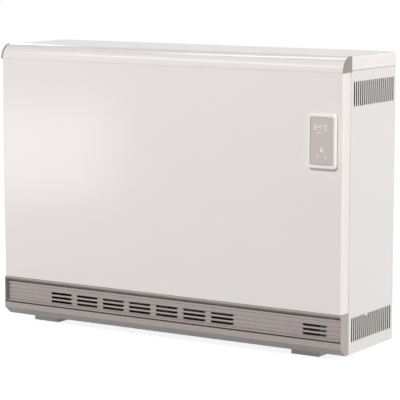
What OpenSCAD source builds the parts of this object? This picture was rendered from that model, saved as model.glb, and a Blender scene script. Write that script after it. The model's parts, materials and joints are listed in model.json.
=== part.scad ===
// Fan storage heater: a brick core in a folded steel casing, charged by three
// heating elements and emptied by a crossflow fan behind the outlet grille.
// X runs along the front, Y from front to back, Z up. The origin is on the
// floor, in the middle of the heater.

/* [Casing] */
// Width across the side panels
casing_w = 922; // [880:1:1000]
// Depth from the front panel's face to the rear edge of the cover
casing_d = 248; // [244:1:262]
// Height from the floor to the top of the cover
total_h = 672; // [664:1:730]
// Thickness of the painted steel sheet
sheet_t = 1.2; // [0.8:0.1:1.4]
// Inside radius of the folds
bend_r = 1.5; // [1:0.1:2]
// Gap at the seams between neighbouring panels
seam = 0.8; // [0.4:0.1:0.9]
// Width of the flanges folded inwards along the panels' edges
flange_w = 10; // [8:0.5:10]
// Height of the cover's skirt
skirt_h = 31; // [25:1:38]
// How far the cover's skirt stands out past the side panels
skirt_proud = 0.8; // [0.4:0.1:1.2]
// How far the cover reaches back past the side panels
cover_overhang = 1.4; // [1.4:0.1:2.5]

/* [Front panel and trim] */
// Depth of the front panel's side flanges
front_flange_d = 34; // [30:0.5:36]
// Outside radius of the front panel's side folds
front_fold_r = 6; // [3:0.5:8]
// Height of the rolled trim above the front panel
trim_h = 34.5; // [30:0.5:38]
// How far the foot of the trim stands out in front of the panel
trim_proud = 0.4; // [0.2:0.1:2]
// Radius of the trim's rolled face
trim_r = 34.5; // [30:0.5:40]
// Angle above the trim's foot at which the cover takes over the roll
trim_sweep = 66; // [50:1:75]
// Diameter of the fine groove along the trim
trim_groove_d = 1.4; // [1:0.1:2]
// Angle of the fine groove above the trim's foot
trim_groove_angle = 48; // [30:1:55]
// Thickness of the trim's end caps
cap_t = 4; // [3:0.5:5]
// How far the end caps reach back past the top of the roll
cap_tail = 0.5; // [0.2:0.1:3]
// How far an end cap stands out past the casing's side
cap_overhang = 2; // [1.5:0.5:3]
// How far an end cap stands out past the trim's face
cap_proud = 1; // [0.8:0.1:2]
// Length of the plug that holds an end cap in the trim
cap_plug_l = 10; // [6:1:14]

/* [Outlet] */
// Height of the outlet frame's top above the floor
frame_top = 112; // [111:0.5:114]
// Thickness of the outlet frame's end cheeks
cheek_t = 2; // [1.5:0.1:3]
// Depth of the outlet frame
frame_d = 34; // [30:0.5:36]
// Height of the lip above the outlet
lip_h = 6; // [5:0.5:7]
// Depth of the lip's return
lip_d = 12; // [8:1:13]
// Height of the lower rail's top above the floor
rail_top = 49.5; // [47:0.5:50]
// Height above the floor at which the lower rail starts to slope back
rail_knee = 36; // [32:0.5:40]
// Depth of the lower rail's sloping face
rail_slope_d = 20.5; // [17:0.5:24]
// Depth of the return on top of the lower rail
rail_return_d = 14; // [10:1:16]
// How far the grille sits back from the front panel's face
grille_recess = 8; // [7:0.5:10]
// Thickness of the grille's wall
grille_t = 1.5; // [1.2:0.1:2]
// Gap between the grille and the lower rail
grille_bottom_gap = 2.7; // [2:0.1:3.5]
// Gap between the grille and the lip above it, which clears the screw heads
grille_top_gap = 1.8; // [1.7:0.1:2.2]
// Gap between the grille's ends and the frame's cheeks
grille_gap = 0.8; // [0.5:0.1:0.9]
// Number of grooves across the grille
groove_count = 4; // [3:1:4]
// Width of a groove
groove_w = 5.6; // [5:0.1:6]
// Depth of a groove
groove_depth = 2; // [1:0.1:3]
// Height of the lowest slotted groove above the grille's lower edge
groove_start = 10.1; // [9.5:0.1:10.5]
// Distance from the highest groove to the grille's upper edge
groove_end = 12.5; // [11:0.5:14]
// Length of an air slot
slot_l = 60; // [40:1:66]
// Height of an air slot
slot_h = 3.6; // [2.5:0.1:4.2]
// Distance from one group of air slots to the next
slot_pitch = 75; // [70:1:80]
// How far the slot groups sit left of the middle of the core
slot_shift = 3.6; // [0:0.1:8]
// Number of slot groups in front of the fan
slot_groups = 7; // [3:2:7]
// Diameter of the studs that hold the grille
stud_d = 5; // [4:0.5:6]
// Length of the studs behind the grille
stud_l = 12; // [10:0.5:12]
// Distance from the studs' axis to the grille's upper edge
stud_drop = 5.6; // [5.2:0.1:5.8]
// Distance from the casing's sides to the outer studs
stud_inset = 31; // [20:1:40]
// Distance from the casing's left side to the left inner stud
inner_stud_left = 301; // [290:1:301]
// Distance from the casing's right side to the right inner stud
inner_stud_right = 321; // [310:1:325]

/* [Side vents] */
// Number of slots in a row of vents
vent_count = 20; // [6:1:20]
// Width of a vent
vent_w = 5.2; // [3:0.1:5.6]
// Height of a vent
vent_h = 54.5; // [30:0.5:60]
// Distance from the front panel's face to the first vent
vent_inset = 50; // [47:0.5:54]
// Distance from the last vent to the side panel's rear edge
vent_rear_inset = 14.2; // [12:0.1:20]
// Height of the lower vents above the floor
vent_low = 44.5; // [42:0.5:60]
// Distance from the upper vents' top to the top of the cover
vent_drop = 55.3; // [50:0.1:70]

/* [Display] */
// Width of the display housing
display_w = 70; // [64:1:80]
// Height of the display housing
display_h = 121; // [110:1:130]
// Depth of the display housing in front of the panel
display_proud = 12; // [9:0.5:14]
// Depth of the narrower foot behind the display housing's rim
display_foot_d = 5; // [3:0.5:7]
// How far the display's foot is set in from its rim
display_foot_inset = 4; // [2:0.5:5]
// Corner radius of the display housing
display_r = 8; // [6:0.5:12]
// Distance from the display to the front panel's right edge
display_inset = 11; // [8:1:30]
// Distance from the display's top to the top of the cover
display_drop = 121; // [100:0.5:200]
// Width of the screen
screen_w = 55.5; // [50:0.5:58]
// Height of the screen
screen_h = 102; // [90:0.5:103]
// Width of the opening in the front panel behind the display
display_hole_w = 40; // [30:1:48]
// Height of the opening in the front panel behind the display
display_hole_h = 70; // [40:1:80]

/* [Feet] */
// Height of the feet
foot_h = 19; // [17:0.5:19]
// Width of a foot
foot_w = 73; // [60:1:90]
// Depth of a foot
foot_d = 150; // [120:1:160]
// Distance from the front panel's face to the feet
foot_front = 58; // [50:1:70]
// Distance from the casing's left side to the left foot
foot_inset_left = 44.5; // [40:0.5:70]
// Distance from the casing's right side to the right foot
foot_inset_right = 85; // [60:0.5:100]
// Thickness of the steel of the feet
foot_t = 1.5; // [1.2:0.1:2]
// Diameter of the floor screw holes in the feet
floor_hole_d = 9; // [6:0.5:11]
// Distance between the two floor screw holes in a foot
floor_hole_pitch = 100; // [70:1:110]

/* [Core] */
// Depth of a storage brick
brick_d = 140; // [136:1:142]
// Number of bricks side by side
brick_columns = 4; // [2:1:4]
// Length of the air channels through a brick
channel_l = 100; // [60:1:120]
// Depth of the air channels through a brick
channel_d = 16; // [10:1:20]
// Diameter of a heating element
element_d = 8.5; // [6.5:0.5:10]
// Distance between the two legs of a heating element
element_pitch = 70; // [50:1:74]
// Thickness of the insulation in front of the core
front_insulation_t = 30; // [26:0.5:31]
// Thickness of the insulation at the core's left end
left_insulation_t = 62.8; // [50:0.1:75]
// Thickness of the insulation over the core
top_insulation_t = 53; // [45:1:60]
// Thickness of the insulation between the core and the electrical compartment
right_insulation_t = 72; // [60:1:75]
// Thickness of the insulation under the core
base_insulation_t = 45; // [40:1:46]
// Air gap between the front panel and the inner front plate
front_air_gap = 20.8; // [20:0.1:22]
// Air gap between the inner back plate and the back panel
back_air_gap = 22; // [20:0.5:23]
// Height of the core shelf's top above the floor
shelf_top = 120; // [119:0.5:121]
// Width of the electrical compartment
compartment_w = 141; // [136:1:150]

/* [Fan] */
// Outer diameter of the crossflow impellers
impeller_d = 48; // [44:1:50]
// Length of each impeller
impeller_l = 190; // [120:1:195]
// Number of blades of an impeller
blade_count = 24; // [12:1:28]
// Depth of the blade ring
blade_depth = 6; // [5:0.5:8]
// Thickness of a blade
blade_t = 0.8; // [0.6:0.1:1]
// Angle that a blade sweeps back from its root to its tip
blade_sweep = 22; // [10:1:28]
// Diameter of the fan shaft
shaft_d = 6; // [5:0.5:8]
// Width of the motor between the impellers
motor_w = 60; // [50:1:70]
// How far the spiral of the fan's housing ends outside the impellers
scroll_growth = 14; // [12:0.5:16]
// Gap between the tip of the bypass flap and the fan's housing
fan_gap = 3.5; // [2:0.5:6]
// Gap between the core shelf and the fan's housing
fan_roof_gap = 10.8; // [8:0.1:12]

/* [Bypass flap] */
// Depth of the bypass flap
flap_d = 55; // [45:1:57]
// Length of the bypass flap
flap_l = 480; // [420:1:490]
// Thickness of the bypass flap
flap_t = 1; // [0.8:0.1:1.5]
// Diameter of the flap's pins
flap_pin_d = 4; // [3:0.5:4.5]
// Distance from the core shelf down to the flap's hinge
flap_drop = 8; // [7.5:0.5:9]
// Distance from the front panel's face to the flap's hinge
flap_back = 28.5; // [28:0.5:30]

/* [Electrical parts] */
// Distance from the partition to the face of the chassis plate
chassis_gap = 12; // [8:1:16]
// Depth of the chassis plate
chassis_d = 64; // [56:1:70]
// Distance from the chassis plate to the back panel
chassis_back = 13; // [10:1:20]
// Height of the chassis plate's lower edge above the floor
chassis_low = 90; // [60:1:100]
// Height of the chassis plate
chassis_h = 470; // [450:5:480]
// Height of the terminal block above the chassis plate's lower edge
terminal_rise = 22; // [10:1:30]
// Height of the contactor above the terminal block
contactor_rise = 22; // [10:1:30]
// Height of the control board above the contactor
board_rise = 28; // [15:1:35]
// Height of the limiter's axis above the control board
limiter_rise = 30; // [25:1:40]
// Diameter of the supply cable that the entry takes
cable_d = 10; // [8:0.5:12]
// Distance from the casing's right side to the cable entry
cable_inset = 66; // [50:1:90]
// Height of the cable entry above the floor
cable_height = 70; // [60:1:90]
// Diameter of the wall screw holes in the back panel
wall_hole_d = 9; // [6:0.5:11]
// Distance between the two wall screw holes
wall_hole_pitch = 600; // [400:1:700]
// Distance from the wall screw holes to the top of the cover
wall_hole_drop = 72; // [60:1:120]

/* [Hidden] */

$fn = 48;
bend_steps = 4;
fit = 0.2;
slide_fit = 0.3;
running_fit = 0.16;
brick_layers = 7;
element_count = 3;
slot_rows = 3;

white = "#eceae8";
grey = "#a59b98";
zinc = "#b9bcbe";
brick_red = "#8a5346";
wool = "#d9cfae";
steel = "#8f9396";

x_right = casing_w / 2;
x_left = -x_right;
y_front = (display_proud - casing_d) / 2;
y_rear = y_front + casing_d;
panel_rear = y_rear - cover_overhang;
trim_centre = [y_front - trim_proud + trim_r, total_h - trim_r];
cap_rear = trim_centre[0] + cap_tail;
side_front = max(y_front + max(front_flange_d, frame_d) + seam, cap_rear + fit);
skirt_bottom = total_h - skirt_h;
side_top = skirt_bottom - seam;
back_outer = panel_rear - sheet_t - fit;
back_inner = back_outer - sheet_t;
base_top = foot_h + sheet_t;
trim_bottom = total_h - trim_h;
front_top = trim_bottom - fit;

partition_x = x_right - compartment_w;
liner_gap = 1;
liner_left = x_left + flange_w + liner_gap;
liner_right = partition_x - sheet_t - fit;
liner_front = y_front + sheet_t + front_air_gap;
liner_back = back_inner - back_air_gap;
liner_top = side_top - fit;
core_right = liner_right - right_insulation_t - fit;
core_left = liner_left + sheet_t + fit + left_insulation_t + fit;
brick_l = (core_right - core_left) / brick_columns;
core_middle = (core_left + core_right) / 2;
core_front = liner_front + sheet_t + front_insulation_t + 2 * fit;
core_back = core_front + brick_d;
core_bottom = shelf_top + base_insulation_t + 2 * fit;
core_top = liner_top - sheet_t - fit - top_insulation_t - fit;
brick_h = (core_top - core_bottom) / brick_layers;

frame_rear = y_front + frame_d;
grille_bottom = rail_top + grille_bottom_gap;
grille_top = frame_top - lip_h - grille_top_gap;
grille_face = y_front + grille_recess;
grille_back = grille_face + grille_t;
grille_x = x_right - cheek_t - grille_gap;
groove_pitch = (grille_top - groove_end - groove_start - grille_bottom) / (groove_count - 1);
stud_x = [x_left + stud_inset, x_left + inner_stud_left, x_right - inner_stud_right, x_right - stud_inset];
stud_z = grille_top - stud_drop;
vent_pitch = (panel_rear - vent_rear_inset - vent_inset - y_front) / (vent_count - 1);

impeller_r = impeller_d / 2;
housing_r = impeller_r + scroll_growth;
flap_y = y_front + flap_back;
fan_y = flap_y + flap_d + fan_gap + housing_r;
fan_z = shelf_top - sheet_t - fan_roof_gap - housing_r;
duct_gap = 20;
duct_y = grille_face + duct_gap;
flap_z = shelf_top - sheet_t - flap_drop;
flap_left = core_middle - flap_l / 2;
flap_right = core_middle + flap_l / 2;

display_right = x_right - display_inset;
display_x = display_right - display_w / 2;
display_z = total_h - display_drop - display_h / 2;
display_face = y_front - display_proud;
cable_x = x_right - cable_inset;
wall_z = total_h - wall_hole_drop;

// ---------------------------------------------------------------- helpers

function unit(v) = v / norm(v);
function left_of(v) = [-v[1], v[0]];
function reversed(p) = [for (i = [len(p) - 1:-1:0]) p[i]];
function turns_left(p, i) = cross(p[i] - p[i - 1], p[i + 1] - p[i]) > 0;

// Points of an arc about c from angle a to angle b
function arc(c, r, a, b, n) =
    [for (i = [0:n]) c + r * [cos(a + (b - a) * i / n), sin(a + (b - a) * i / n)]];

// Points that round the corner b between a and c with radius r
function corner(a, b, c, r) =
    let (u = unit(a - b), v = unit(c - b), half = acos(u * v) / 2,
         centre = b + unit(u + v) * r / sin(half),
         start = b + u * r / tan(half) - centre,
         from = atan2(start[1], start[0]),
         sweep = (cross(b - a, c - b) > 0 ? 1 : -1) * (180 - 2 * half))
    arc(centre, r, from, from + sweep, bend_steps);

// The path p with its left turns rounded to left_r and its right turns to right_r
function rounded(p, left_r, right_r) = concat(
    [p[0]],
    [for (i = [1:len(p) - 2])
        each corner(p[i - 1], p[i], p[i + 1], turns_left(p, i) ? left_r : right_r)],
    [p[len(p) - 1]]);

// The path p moved to its left by d
function shifted(p, d) = [for (i = [0:len(p) - 1])
    let (last = len(p) - 1,
         n1 = left_of(unit(i > 0 ? p[i] - p[i - 1] : p[1] - p[0])),
         n2 = left_of(unit(i < last ? p[i + 1] - p[i] : p[i] - p[i - 1])))
    p[i] + d * (n1 + n2) / (1 + n1 * n2)];

// Section of a sheet folded along the path p, which is the sheet's right-hand face
function folded(p, t = sheet_t, r = bend_r) =
    concat(rounded(p, r + t, r), reversed(rounded(shifted(p, t), r, r + t)));

// Section of a sheet rolled along a path of many short steps
function rolled(p, t) = concat(p, reversed(shifted(p, t)));

module along_x(x0, x1) translate([x0, 0, 0]) rotate([90, 0, 90]) linear_extrude(x1 - x0) children();
module along_y(y0, y1) translate([0, y1, 0]) rotate([90, 0, 0]) linear_extrude(y1 - y0) children();
module along_z(z0, z1) translate([0, 0, z0]) linear_extrude(z1 - z0) children();
module block(low, high) translate(low) cube(high - low);
module rod_x(x0, x1, y, z, d) translate([x0, y, z]) rotate([0, 90, 0]) cylinder(h = x1 - x0, d = d);
module rod_y(y0, y1, x, z, d) translate([x, y0, z]) rotate([-90, 0, 0]) cylinder(h = y1 - y0, d = d);

// A slot with round ends, l long along X and w wide
module slot(l, w) {
    square([l - w, w], center = true);
    for (side = [-1, 1]) translate([side * (l - w) / 2, 0]) circle(d = w);
}

module rounded_rectangle(w, h, r) {
    square([w - 2 * r, h], center = true);
    square([w, h - 2 * r], center = true);
    for (x = [-1, 1], y = [-1, 1]) translate([x * (w / 2 - r), y * (h / 2 - r)]) circle(r);
}

// ---------------------------------------------------------------- casing

base_upstand_h = 25;
base_x = x_right - sheet_t - fit;
floor_hole_y = [for (s = [-1, 1]) y_front + foot_front + foot_d / 2 + s * floor_hole_pitch / 2];
foot_x = [x_left + foot_inset_left + foot_w / 2, x_right - foot_inset_right - foot_w / 2];

// Tray that closes the casing below, with the fan's air intake
module base_plate() {
    access_hole_d = 22;
    intake_slot_l = 50;
    intake_slot_w = 5;
    intake_pitch = 12;
    intake_half = floor((impeller_l + motor_w / 2) / intake_pitch) - 1;
    tray_front = side_front + sheet_t + bend_r + fit;
    tongue_x = x_right - flange_w - fit;
    tray = [[-base_x, foot_h + base_upstand_h], [-base_x, foot_h],
            [base_x, foot_h], [base_x, foot_h + base_upstand_h]];
    color(zinc) difference() {
        union() {
            along_y(tray_front, back_inner - fit) polygon(folded(tray));
            block([-tongue_x, frame_rear + fit, foot_h], [tongue_x, tray_front + 1, base_top]);
            block([-base_x + sheet_t, back_inner - fit - sheet_t, foot_h],
                  [base_x - sheet_t, back_inner - fit, foot_h + base_upstand_h]);
        }
        for (x = foot_x, y = floor_hole_y) translate([x, y, 0]) cylinder(h = base_top + 1, d = access_hole_d);
        along_z(foot_h - 1, base_top + 1) for (i = [-intake_half:intake_half])
            translate([core_middle + i * intake_pitch, fan_y]) rotate(90) slot(intake_slot_l, intake_slot_w);
    }
}

// Foot: a shallow steel box, welded under the base plate by its top lips
module foot(x) {
    lip_w = 9;
    half = foot_w / 2;
    section = [[-half + lip_w, foot_h], [-half, foot_h], [-half, 0],
               [half, 0], [half, foot_h], [half - lip_w, foot_h]];
    y0 = y_front + foot_front;
    y1 = y0 + foot_d;
    color(white) difference() {
        translate([x, 0, 0]) {
            along_y(y0, y1) polygon(folded(section, foot_t, bend_r));
            for (y = [y0, y1 - foot_t])
                block([-half + foot_t, y, foot_t / 2], [half - foot_t, y + foot_t, foot_h - foot_t / 2]);
        }
        for (y = floor_hole_y) translate([x, y, -1]) cylinder(h = foot_t + 2, d = floor_hole_d);
    }
}
module foot_left() foot(foot_x[0]);
module foot_right() foot(foot_x[1]);

screw_d = 3.5;
screw_head_d = 7;
screw_head_h = 1.3;
screw_reach = 4;
cover_gap = 2;
screw_x = x_right - flange_w / 2;
screw_inset = 40;
screw_z = [foot_h + screw_inset, (foot_h + side_top) / 2, side_top - screw_inset];
grommet_wall = 4;
grommet_neck_d = cable_d + 2 * grommet_wall;

// Back wall, under the side panels' rear flanges
module back_panel() {
    color(zinc) difference() {
        block([bend_r - base_x, back_inner, base_top + fit],
              [base_x - bend_r, back_outer, total_h - sheet_t - cover_gap]);
        for (side = [-1, 1])
            rod_y(back_inner - 1, back_outer + 1, side * wall_hole_pitch / 2, wall_z, wall_hole_d);
        rod_y(back_inner - 1, back_outer + 1, cable_x, cable_height, grommet_neck_d + fit);
        for (side = [-1, 1], z = screw_z)
            rod_y(back_inner - 1, back_outer + 1, side * screw_x, z, screw_d + fit);
    }
}

// Side panel on the right, folded inwards at the front, back and top
module side_panel() {
    section = [[x_right - flange_w, side_front], [x_right, side_front],
               [x_right, panel_rear], [x_right - flange_w, panel_rear]];
    difference() {
        union() {
            along_z(foot_h, side_top) polygon(folded(section));
            block([x_right - flange_w, side_front + flange_w, side_top - sheet_t],
                  [x_right - sheet_t / 2, panel_rear - flange_w, side_top]);
        }
        for (z = screw_z) rod_y(panel_rear - sheet_t - 1, panel_rear + 1, screw_x, z, screw_d + fit);
    }
}
module left_side_panel() color(white) mirror([1, 0, 0]) side_panel();

vent_top = total_h - vent_drop;
module right_side_panel() {
    color(white) difference() {
        side_panel();
        along_x(x_right - sheet_t - 1, x_right + 1)
            for (i = [0:vent_count - 1], z = [vent_low, vent_top - vent_h])
                translate([y_front + vent_inset + i * vent_pitch, z + vent_h / 2])
                    rotate(90) slot(vent_h, vent_w);
    }
}

// Lid with a skirt at the sides and back
cap_inner_x = x_right + cap_overhang - cap_t;
trim_foot = 180 - asin((trim_bottom - trim_centre[1]) / trim_r);
trim_end = trim_foot - trim_sweep;
trim_tongue_r = trim_r - sheet_t - fit;
module top_cover() {
    x = x_right + skirt_proud;
    section = [[-x, skirt_bottom], [-x, total_h], [x, total_h], [x, skirt_bottom]];
    tongue_x = cap_inner_x - fit;
    seam_angle = seam / trim_r * 180 / PI;
    roll_steps = 6;
    color(white) {
        along_y(cap_rear + seam, y_rear) polygon(folded(reversed(section), sheet_t, front_fold_r - sheet_t));
        along_x(-tongue_x, tongue_x) polygon(concat(
            [[cap_rear + seam + 1, total_h]],
            arc(trim_centre, trim_r, 90, trim_end - seam_angle, roll_steps),
            arc(trim_centre, trim_r - sheet_t, trim_end - seam_angle, 90, roll_steps),
            [[cap_rear + seam + 1, total_h - sheet_t]]));
        block([-x + front_fold_r, y_rear - sheet_t, skirt_bottom],
              [x - front_fold_r, y_rear, total_h - sheet_t / 2]);
    }
}

// Front sheet, wrapped round the sides, with a lip behind each side flange
module front_panel() {
    shelf_x = x_right - front_fold_r;
    screw_hole_z = frame_top + seam;
    color(white) difference() {
        union() {
            along_z(frame_top + seam, front_top) polygon(panel_section());
            for (z = [frame_top + seam, front_top - sheet_t])
                block([-shelf_x, y_front + sheet_t / 2, z], [shelf_x, y_front + flange_w, z + sheet_t]);
        }
        along_y(y_front - 1, y_front + sheet_t + 1)
            translate([display_x, display_z]) square([display_hole_w, display_hole_h], center = true);
        for (x = panel_screw_x) translate([x, panel_screw_y, screw_hole_z - 1])
            cylinder(h = sheet_t + 2, d = screw_d + fit);
    }
}
function panel_section() =
    let (rear = y_front + front_flange_d, r = front_fold_r,
         outer = concat([[x_left + flange_w, rear], [x_left, rear]],
             corner([x_left, rear], [x_left, y_front], [0, y_front], r),
             corner([0, y_front], [x_right, y_front], [x_right, rear], r),
             [[x_right, rear], [x_right - flange_w, rear]]),
         in = r - sheet_t,
         x = x_right - sheet_t, y = y_front + sheet_t, lip = rear - sheet_t,
         inner = concat([[-x + flange_w - sheet_t, lip], [-x, lip]],
             corner([-x, lip], [-x, y], [0, y], in),
             corner([0, y], [x, y], [x, lip], in),
             [[x, lip], [x - flange_w + sheet_t, lip]]))
    concat(outer, reversed(inner));

left_screw_inset = 79;
right_screw_inset = 98;
right_screw_pitch = 29;
panel_screw_x = [x_left + left_screw_inset, x_right - right_screw_inset - right_screw_pitch,
                 x_right - right_screw_inset];
panel_screw_inset = 4.2;
panel_screw_y = y_front + panel_screw_inset;
module front_panel_screws() {
    color(steel) for (x = panel_screw_x) translate([x, panel_screw_y, 0]) {
        translate([0, 0, frame_top - lip_h - screw_head_h]) cylinder(h = screw_head_h, d = screw_head_d);
        translate([0, 0, frame_top - lip_h]) cylinder(h = lip_h + seam + sheet_t + screw_reach, d = screw_d);
    }
}

module casing_screws() {
    color(steel) for (side = [-1, 1], z = screw_z) {
        rod_y(panel_rear, panel_rear + screw_head_h, side * screw_x, z, screw_head_d);
        rod_y(back_inner - screw_reach, panel_rear, side * screw_x, z, screw_d);
    }
}

// Rolled moulding along the top edge of the front, with a tongue under the cover
module front_trim() {
    return_d = 10;
    tongue_sweep = 15;
    steps = 14;
    tongue_steps = 4;
    inner_r = trim_r - sheet_t;
    step_angle = sheet_t / trim_r * 180 / PI;
    inner_foot = 180 - asin((trim_bottom + sheet_t - trim_centre[1]) / inner_r);
    section = concat(
        [[y_front + return_d, trim_bottom]],
        arc(trim_centre, trim_r, trim_foot, trim_end, steps),
        arc(trim_centre, trim_tongue_r, trim_end, trim_end - tongue_sweep, tongue_steps),
        arc(trim_centre, trim_tongue_r - sheet_t, trim_end - tongue_sweep, trim_end + step_angle,
            tongue_steps),
        arc(trim_centre, inner_r, trim_end + step_angle, inner_foot, steps),
        [[y_front + return_d, trim_bottom + sheet_t]]);
    groove = trim_foot - trim_groove_angle;
    groove_lift = trim_groove_d / 5;
    x = cap_inner_x - fit;
    color(white) along_x(-x, x) difference() {
        polygon(section);
        translate(trim_centre + (trim_r + groove_lift) * [cos(groove), sin(groove)])
            circle(d = trim_groove_d, $fn = 16);
    }
}

// Moulded cap that closes the end of the trim
module trim_cap(side) {
    steps = 16;
    rear_r = 2;
    plug_foot = 9;
    plug_end = 92;
    cap_r = trim_r + cap_proud;
    plug_r = trim_tongue_r - sheet_t - slide_fit;
    low = trim_bottom + sheet_t + slide_fit;
    face = arc(trim_centre, cap_r, 180 - asin((trim_bottom - trim_centre[1]) / cap_r),
               180 - asin((total_h - trim_centre[1]) / cap_r), steps);
    rear = [cap_rear, trim_bottom];
    outline = concat(face, corner([face[steps][0], total_h], [cap_rear, total_h], rear, rear_r), [rear]);
    plug = concat(arc(trim_centre, plug_r, 180 - asin((low - trim_centre[1]) / plug_r), plug_end, steps),
                  [[y_front + plug_foot, low]]);
    outer = x_right + cap_overhang;
    color(grey) mirror([side < 0 ? 1 : 0, 0, 0]) {
        along_x(outer - cap_t, outer) polygon(outline);
        along_x(outer - cap_t - cap_plug_l, outer - cap_t) polygon(plug);
    }
}
module trim_cap_left() trim_cap(-1);
module trim_cap_right() trim_cap(1);

// ---------------------------------------------------------------- outlet

// Grey surround of the air outlet: lip, cheeks and sloping lower rail
module outlet_frame() {
    rear = frame_rear;
    lip = [[liner_front - fit, frame_top], [y_front, frame_top], [y_front, frame_top - lip_h],
           [y_front + lip_d, frame_top - lip_h]];
    rail = [[y_front + rail_return_d, rail_top], [y_front, rail_top], [y_front, rail_knee],
            [y_front + rail_slope_d, foot_h], [rear, foot_h]];
    cheek = [[y_front, frame_top], [y_front, rail_knee], [y_front + rail_slope_d, foot_h],
             [rear, foot_h], [rear, frame_top]];
    color(grey) difference() {
        union() {
            along_x(-x_right + cheek_t / 2, x_right - cheek_t / 2) {
                polygon(folded(lip));
                polygon(folded(rail));
            }
            for (side = [-1, 1]) mirror([side < 0 ? 1 : 0, 0, 0])
                along_x(x_right - cheek_t, x_right) polygon(cheek);
        }
        for (x = panel_screw_x) translate([x, panel_screw_y, frame_top - lip_h - 1])
            cylinder(h = lip_h + 2, d = screw_d + fit);
    }
}

// Face of the grille from its lower lip up: a root groove, then the slotted grooves
grille_lip_t = 2;
root_ridge_w = 1.5;
function groove_z(i) = grille_bottom + groove_start + i * groove_pitch;
function grooved_face(y) =
    let (deep = y + groove_depth, ridge = groove_z(0) - groove_w / 2 - root_ridge_w)
    concat([[deep, grille_bottom + grille_lip_t], [deep, ridge - groove_w / 4], [y, ridge]],
           [for (i = [0:groove_count - 1])
               each [[y, groove_z(i) - groove_w / 2], [deep, groove_z(i) - groove_w / 4],
                     [deep, groove_z(i) + groove_w / 4], [y, groove_z(i) + groove_w / 2]]]);

module outlet_grille() {
    lip_proud = 5;
    deep = grille_back + groove_depth;
    front = concat(
        [[grille_face - lip_proud, grille_bottom], [grille_face - lip_proud, grille_bottom + grille_lip_t]],
        grooved_face(grille_face), [[grille_face, grille_top]]);
    back = concat(
        [[deep, grille_top], [deep, grille_top - grille_t], [grille_back, grille_top - grille_t]],
        reversed(grooved_face(grille_back)), [[deep, grille_bottom]]);
    color(grey) difference() {
        along_x(-grille_x, grille_x) polygon(concat(front, back));
        along_y(grille_face - 1, grille_back + groove_depth + 1)
            for (x = slot_centres(), row = [0:slot_rows - 1])
                translate([x, groove_z(row)]) slot(slot_l, slot_h);
    }
}
function slot_centres() = concat(
    [for (i = [0:slot_groups - 1]) core_middle - slot_shift + (i - (slot_groups - 1) / 2) * slot_pitch],
    [partition_x + compartment_w / 2]);

// Studs welded to the back of the grille
module grille_studs() color(steel) for (x = stud_x)
    rod_y(grille_back, grille_back + stud_l, x, stud_z, stud_d);

// Spring clips that grip the grille's studs, hung from the frame's top
module grille_clips() {
    prong_w = 3.5;
    w = stud_d + 2 * prong_w;
    top = frame_top - sheet_t - fit;
    y0 = y_front + lip_d + fit;
    y1 = liner_front - 2 * fit;
    color(steel) for (x = stud_x) difference() {
        block([x - w / 2, y0, stud_z - stud_d], [x + w / 2, y1, top]);
        rod_y(y0 - 1, y1 + 1, x, stud_z, stud_d + slide_fit);
        block([x - stud_d / 6, y0 - 1, stud_z - stud_d - 1], [x + stud_d / 6, y1 + 1, stud_z]);
    }
}

// ---------------------------------------------------------------- core

leg_y = [for (s = [-1, 1]) (core_front + core_back) / 2 + s * element_pitch / 2];
bend_x = core_left + brick_l / 4 + element_pitch / 2;
terminal_reach = 26;
terminal_x = partition_x + terminal_reach;
channel_y = [core_front + channel_d, core_back - channel_d];
function element_z(i) = core_bottom + (2 * i + 1) * brick_h;

// A hairpin: two legs and a round bend, d thick
module hairpin(d, end) {
    mid = (leg_y[0] + leg_y[1]) / 2;
    for (y = leg_y) rod_x(bend_x, end, y, 0, d);
    translate([bend_x, mid, 0]) rotate(90) rotate_extrude(angle = 180)
        translate([element_pitch / 2, 0]) circle(d = d);
}

module heating_element(i) {
    tab_l = 10;
    color(steel) translate([0, 0, element_z(i)]) {
        hairpin(element_d, terminal_x);
        for (y = leg_y) block([terminal_x, y - element_d / 4, -element_d / 8],
                              [terminal_x + tab_l, y + element_d / 4, element_d / 8]);
    }
}
module heating_element_1() heating_element(0);
module heating_element_2() heating_element(1);
module heating_element_3() heating_element(2);

module brick_channels(z0, z1) {
    for (i = [0:brick_columns - 1], y = channel_y)
        along_z(z0, z1) translate([core_left + (i + 0.5) * brick_l, y])
            square([channel_l, channel_d], center = true);
}

// One layer of storage bricks, with grooves for the elements and air channels
module brick_layer(layer) {
    element_gap = 1.5;
    groove_d = element_d + element_gap;
    joint_gap = 0.4;
    z = core_bottom + (layer - 1) * brick_h;
    color(brick_red) difference() {
        for (i = [0:brick_columns - 1])
            block([core_left + i * brick_l + joint_gap / 2, core_front, z],
                  [core_left + (i + 1) * brick_l - joint_gap / 2, core_back, z + brick_h - fit]);
        brick_channels(z - 1, z + brick_h + 1);
        for (i = [0:element_count - 1]) if (abs(element_z(i) - z - brick_h / 2) < brick_h)
            translate([0, 0, element_z(i)]) hairpin(groove_d, core_right + 1);
    }
}
module brick_layer_1() brick_layer(1);
module brick_layer_2() brick_layer(2);
module brick_layer_3() brick_layer(3);
module brick_layer_4() brick_layer(4);
module brick_layer_5() brick_layer(5);
module brick_layer_6() brick_layer(6);
module brick_layer_7() brick_layer(7);

// Shelf that carries the core over the fan space
module core_shelf() {
    bridge = [[liner_left, base_top + fit], [liner_left, shelf_top],
              [liner_right, shelf_top], [liner_right, base_top + fit]];
    color(zinc) difference() {
        along_y(liner_front, liner_back) polygon(folded(reversed(bridge), sheet_t));
        brick_channels(shelf_top - sheet_t - 1, shelf_top + 1);
    }
}

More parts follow.
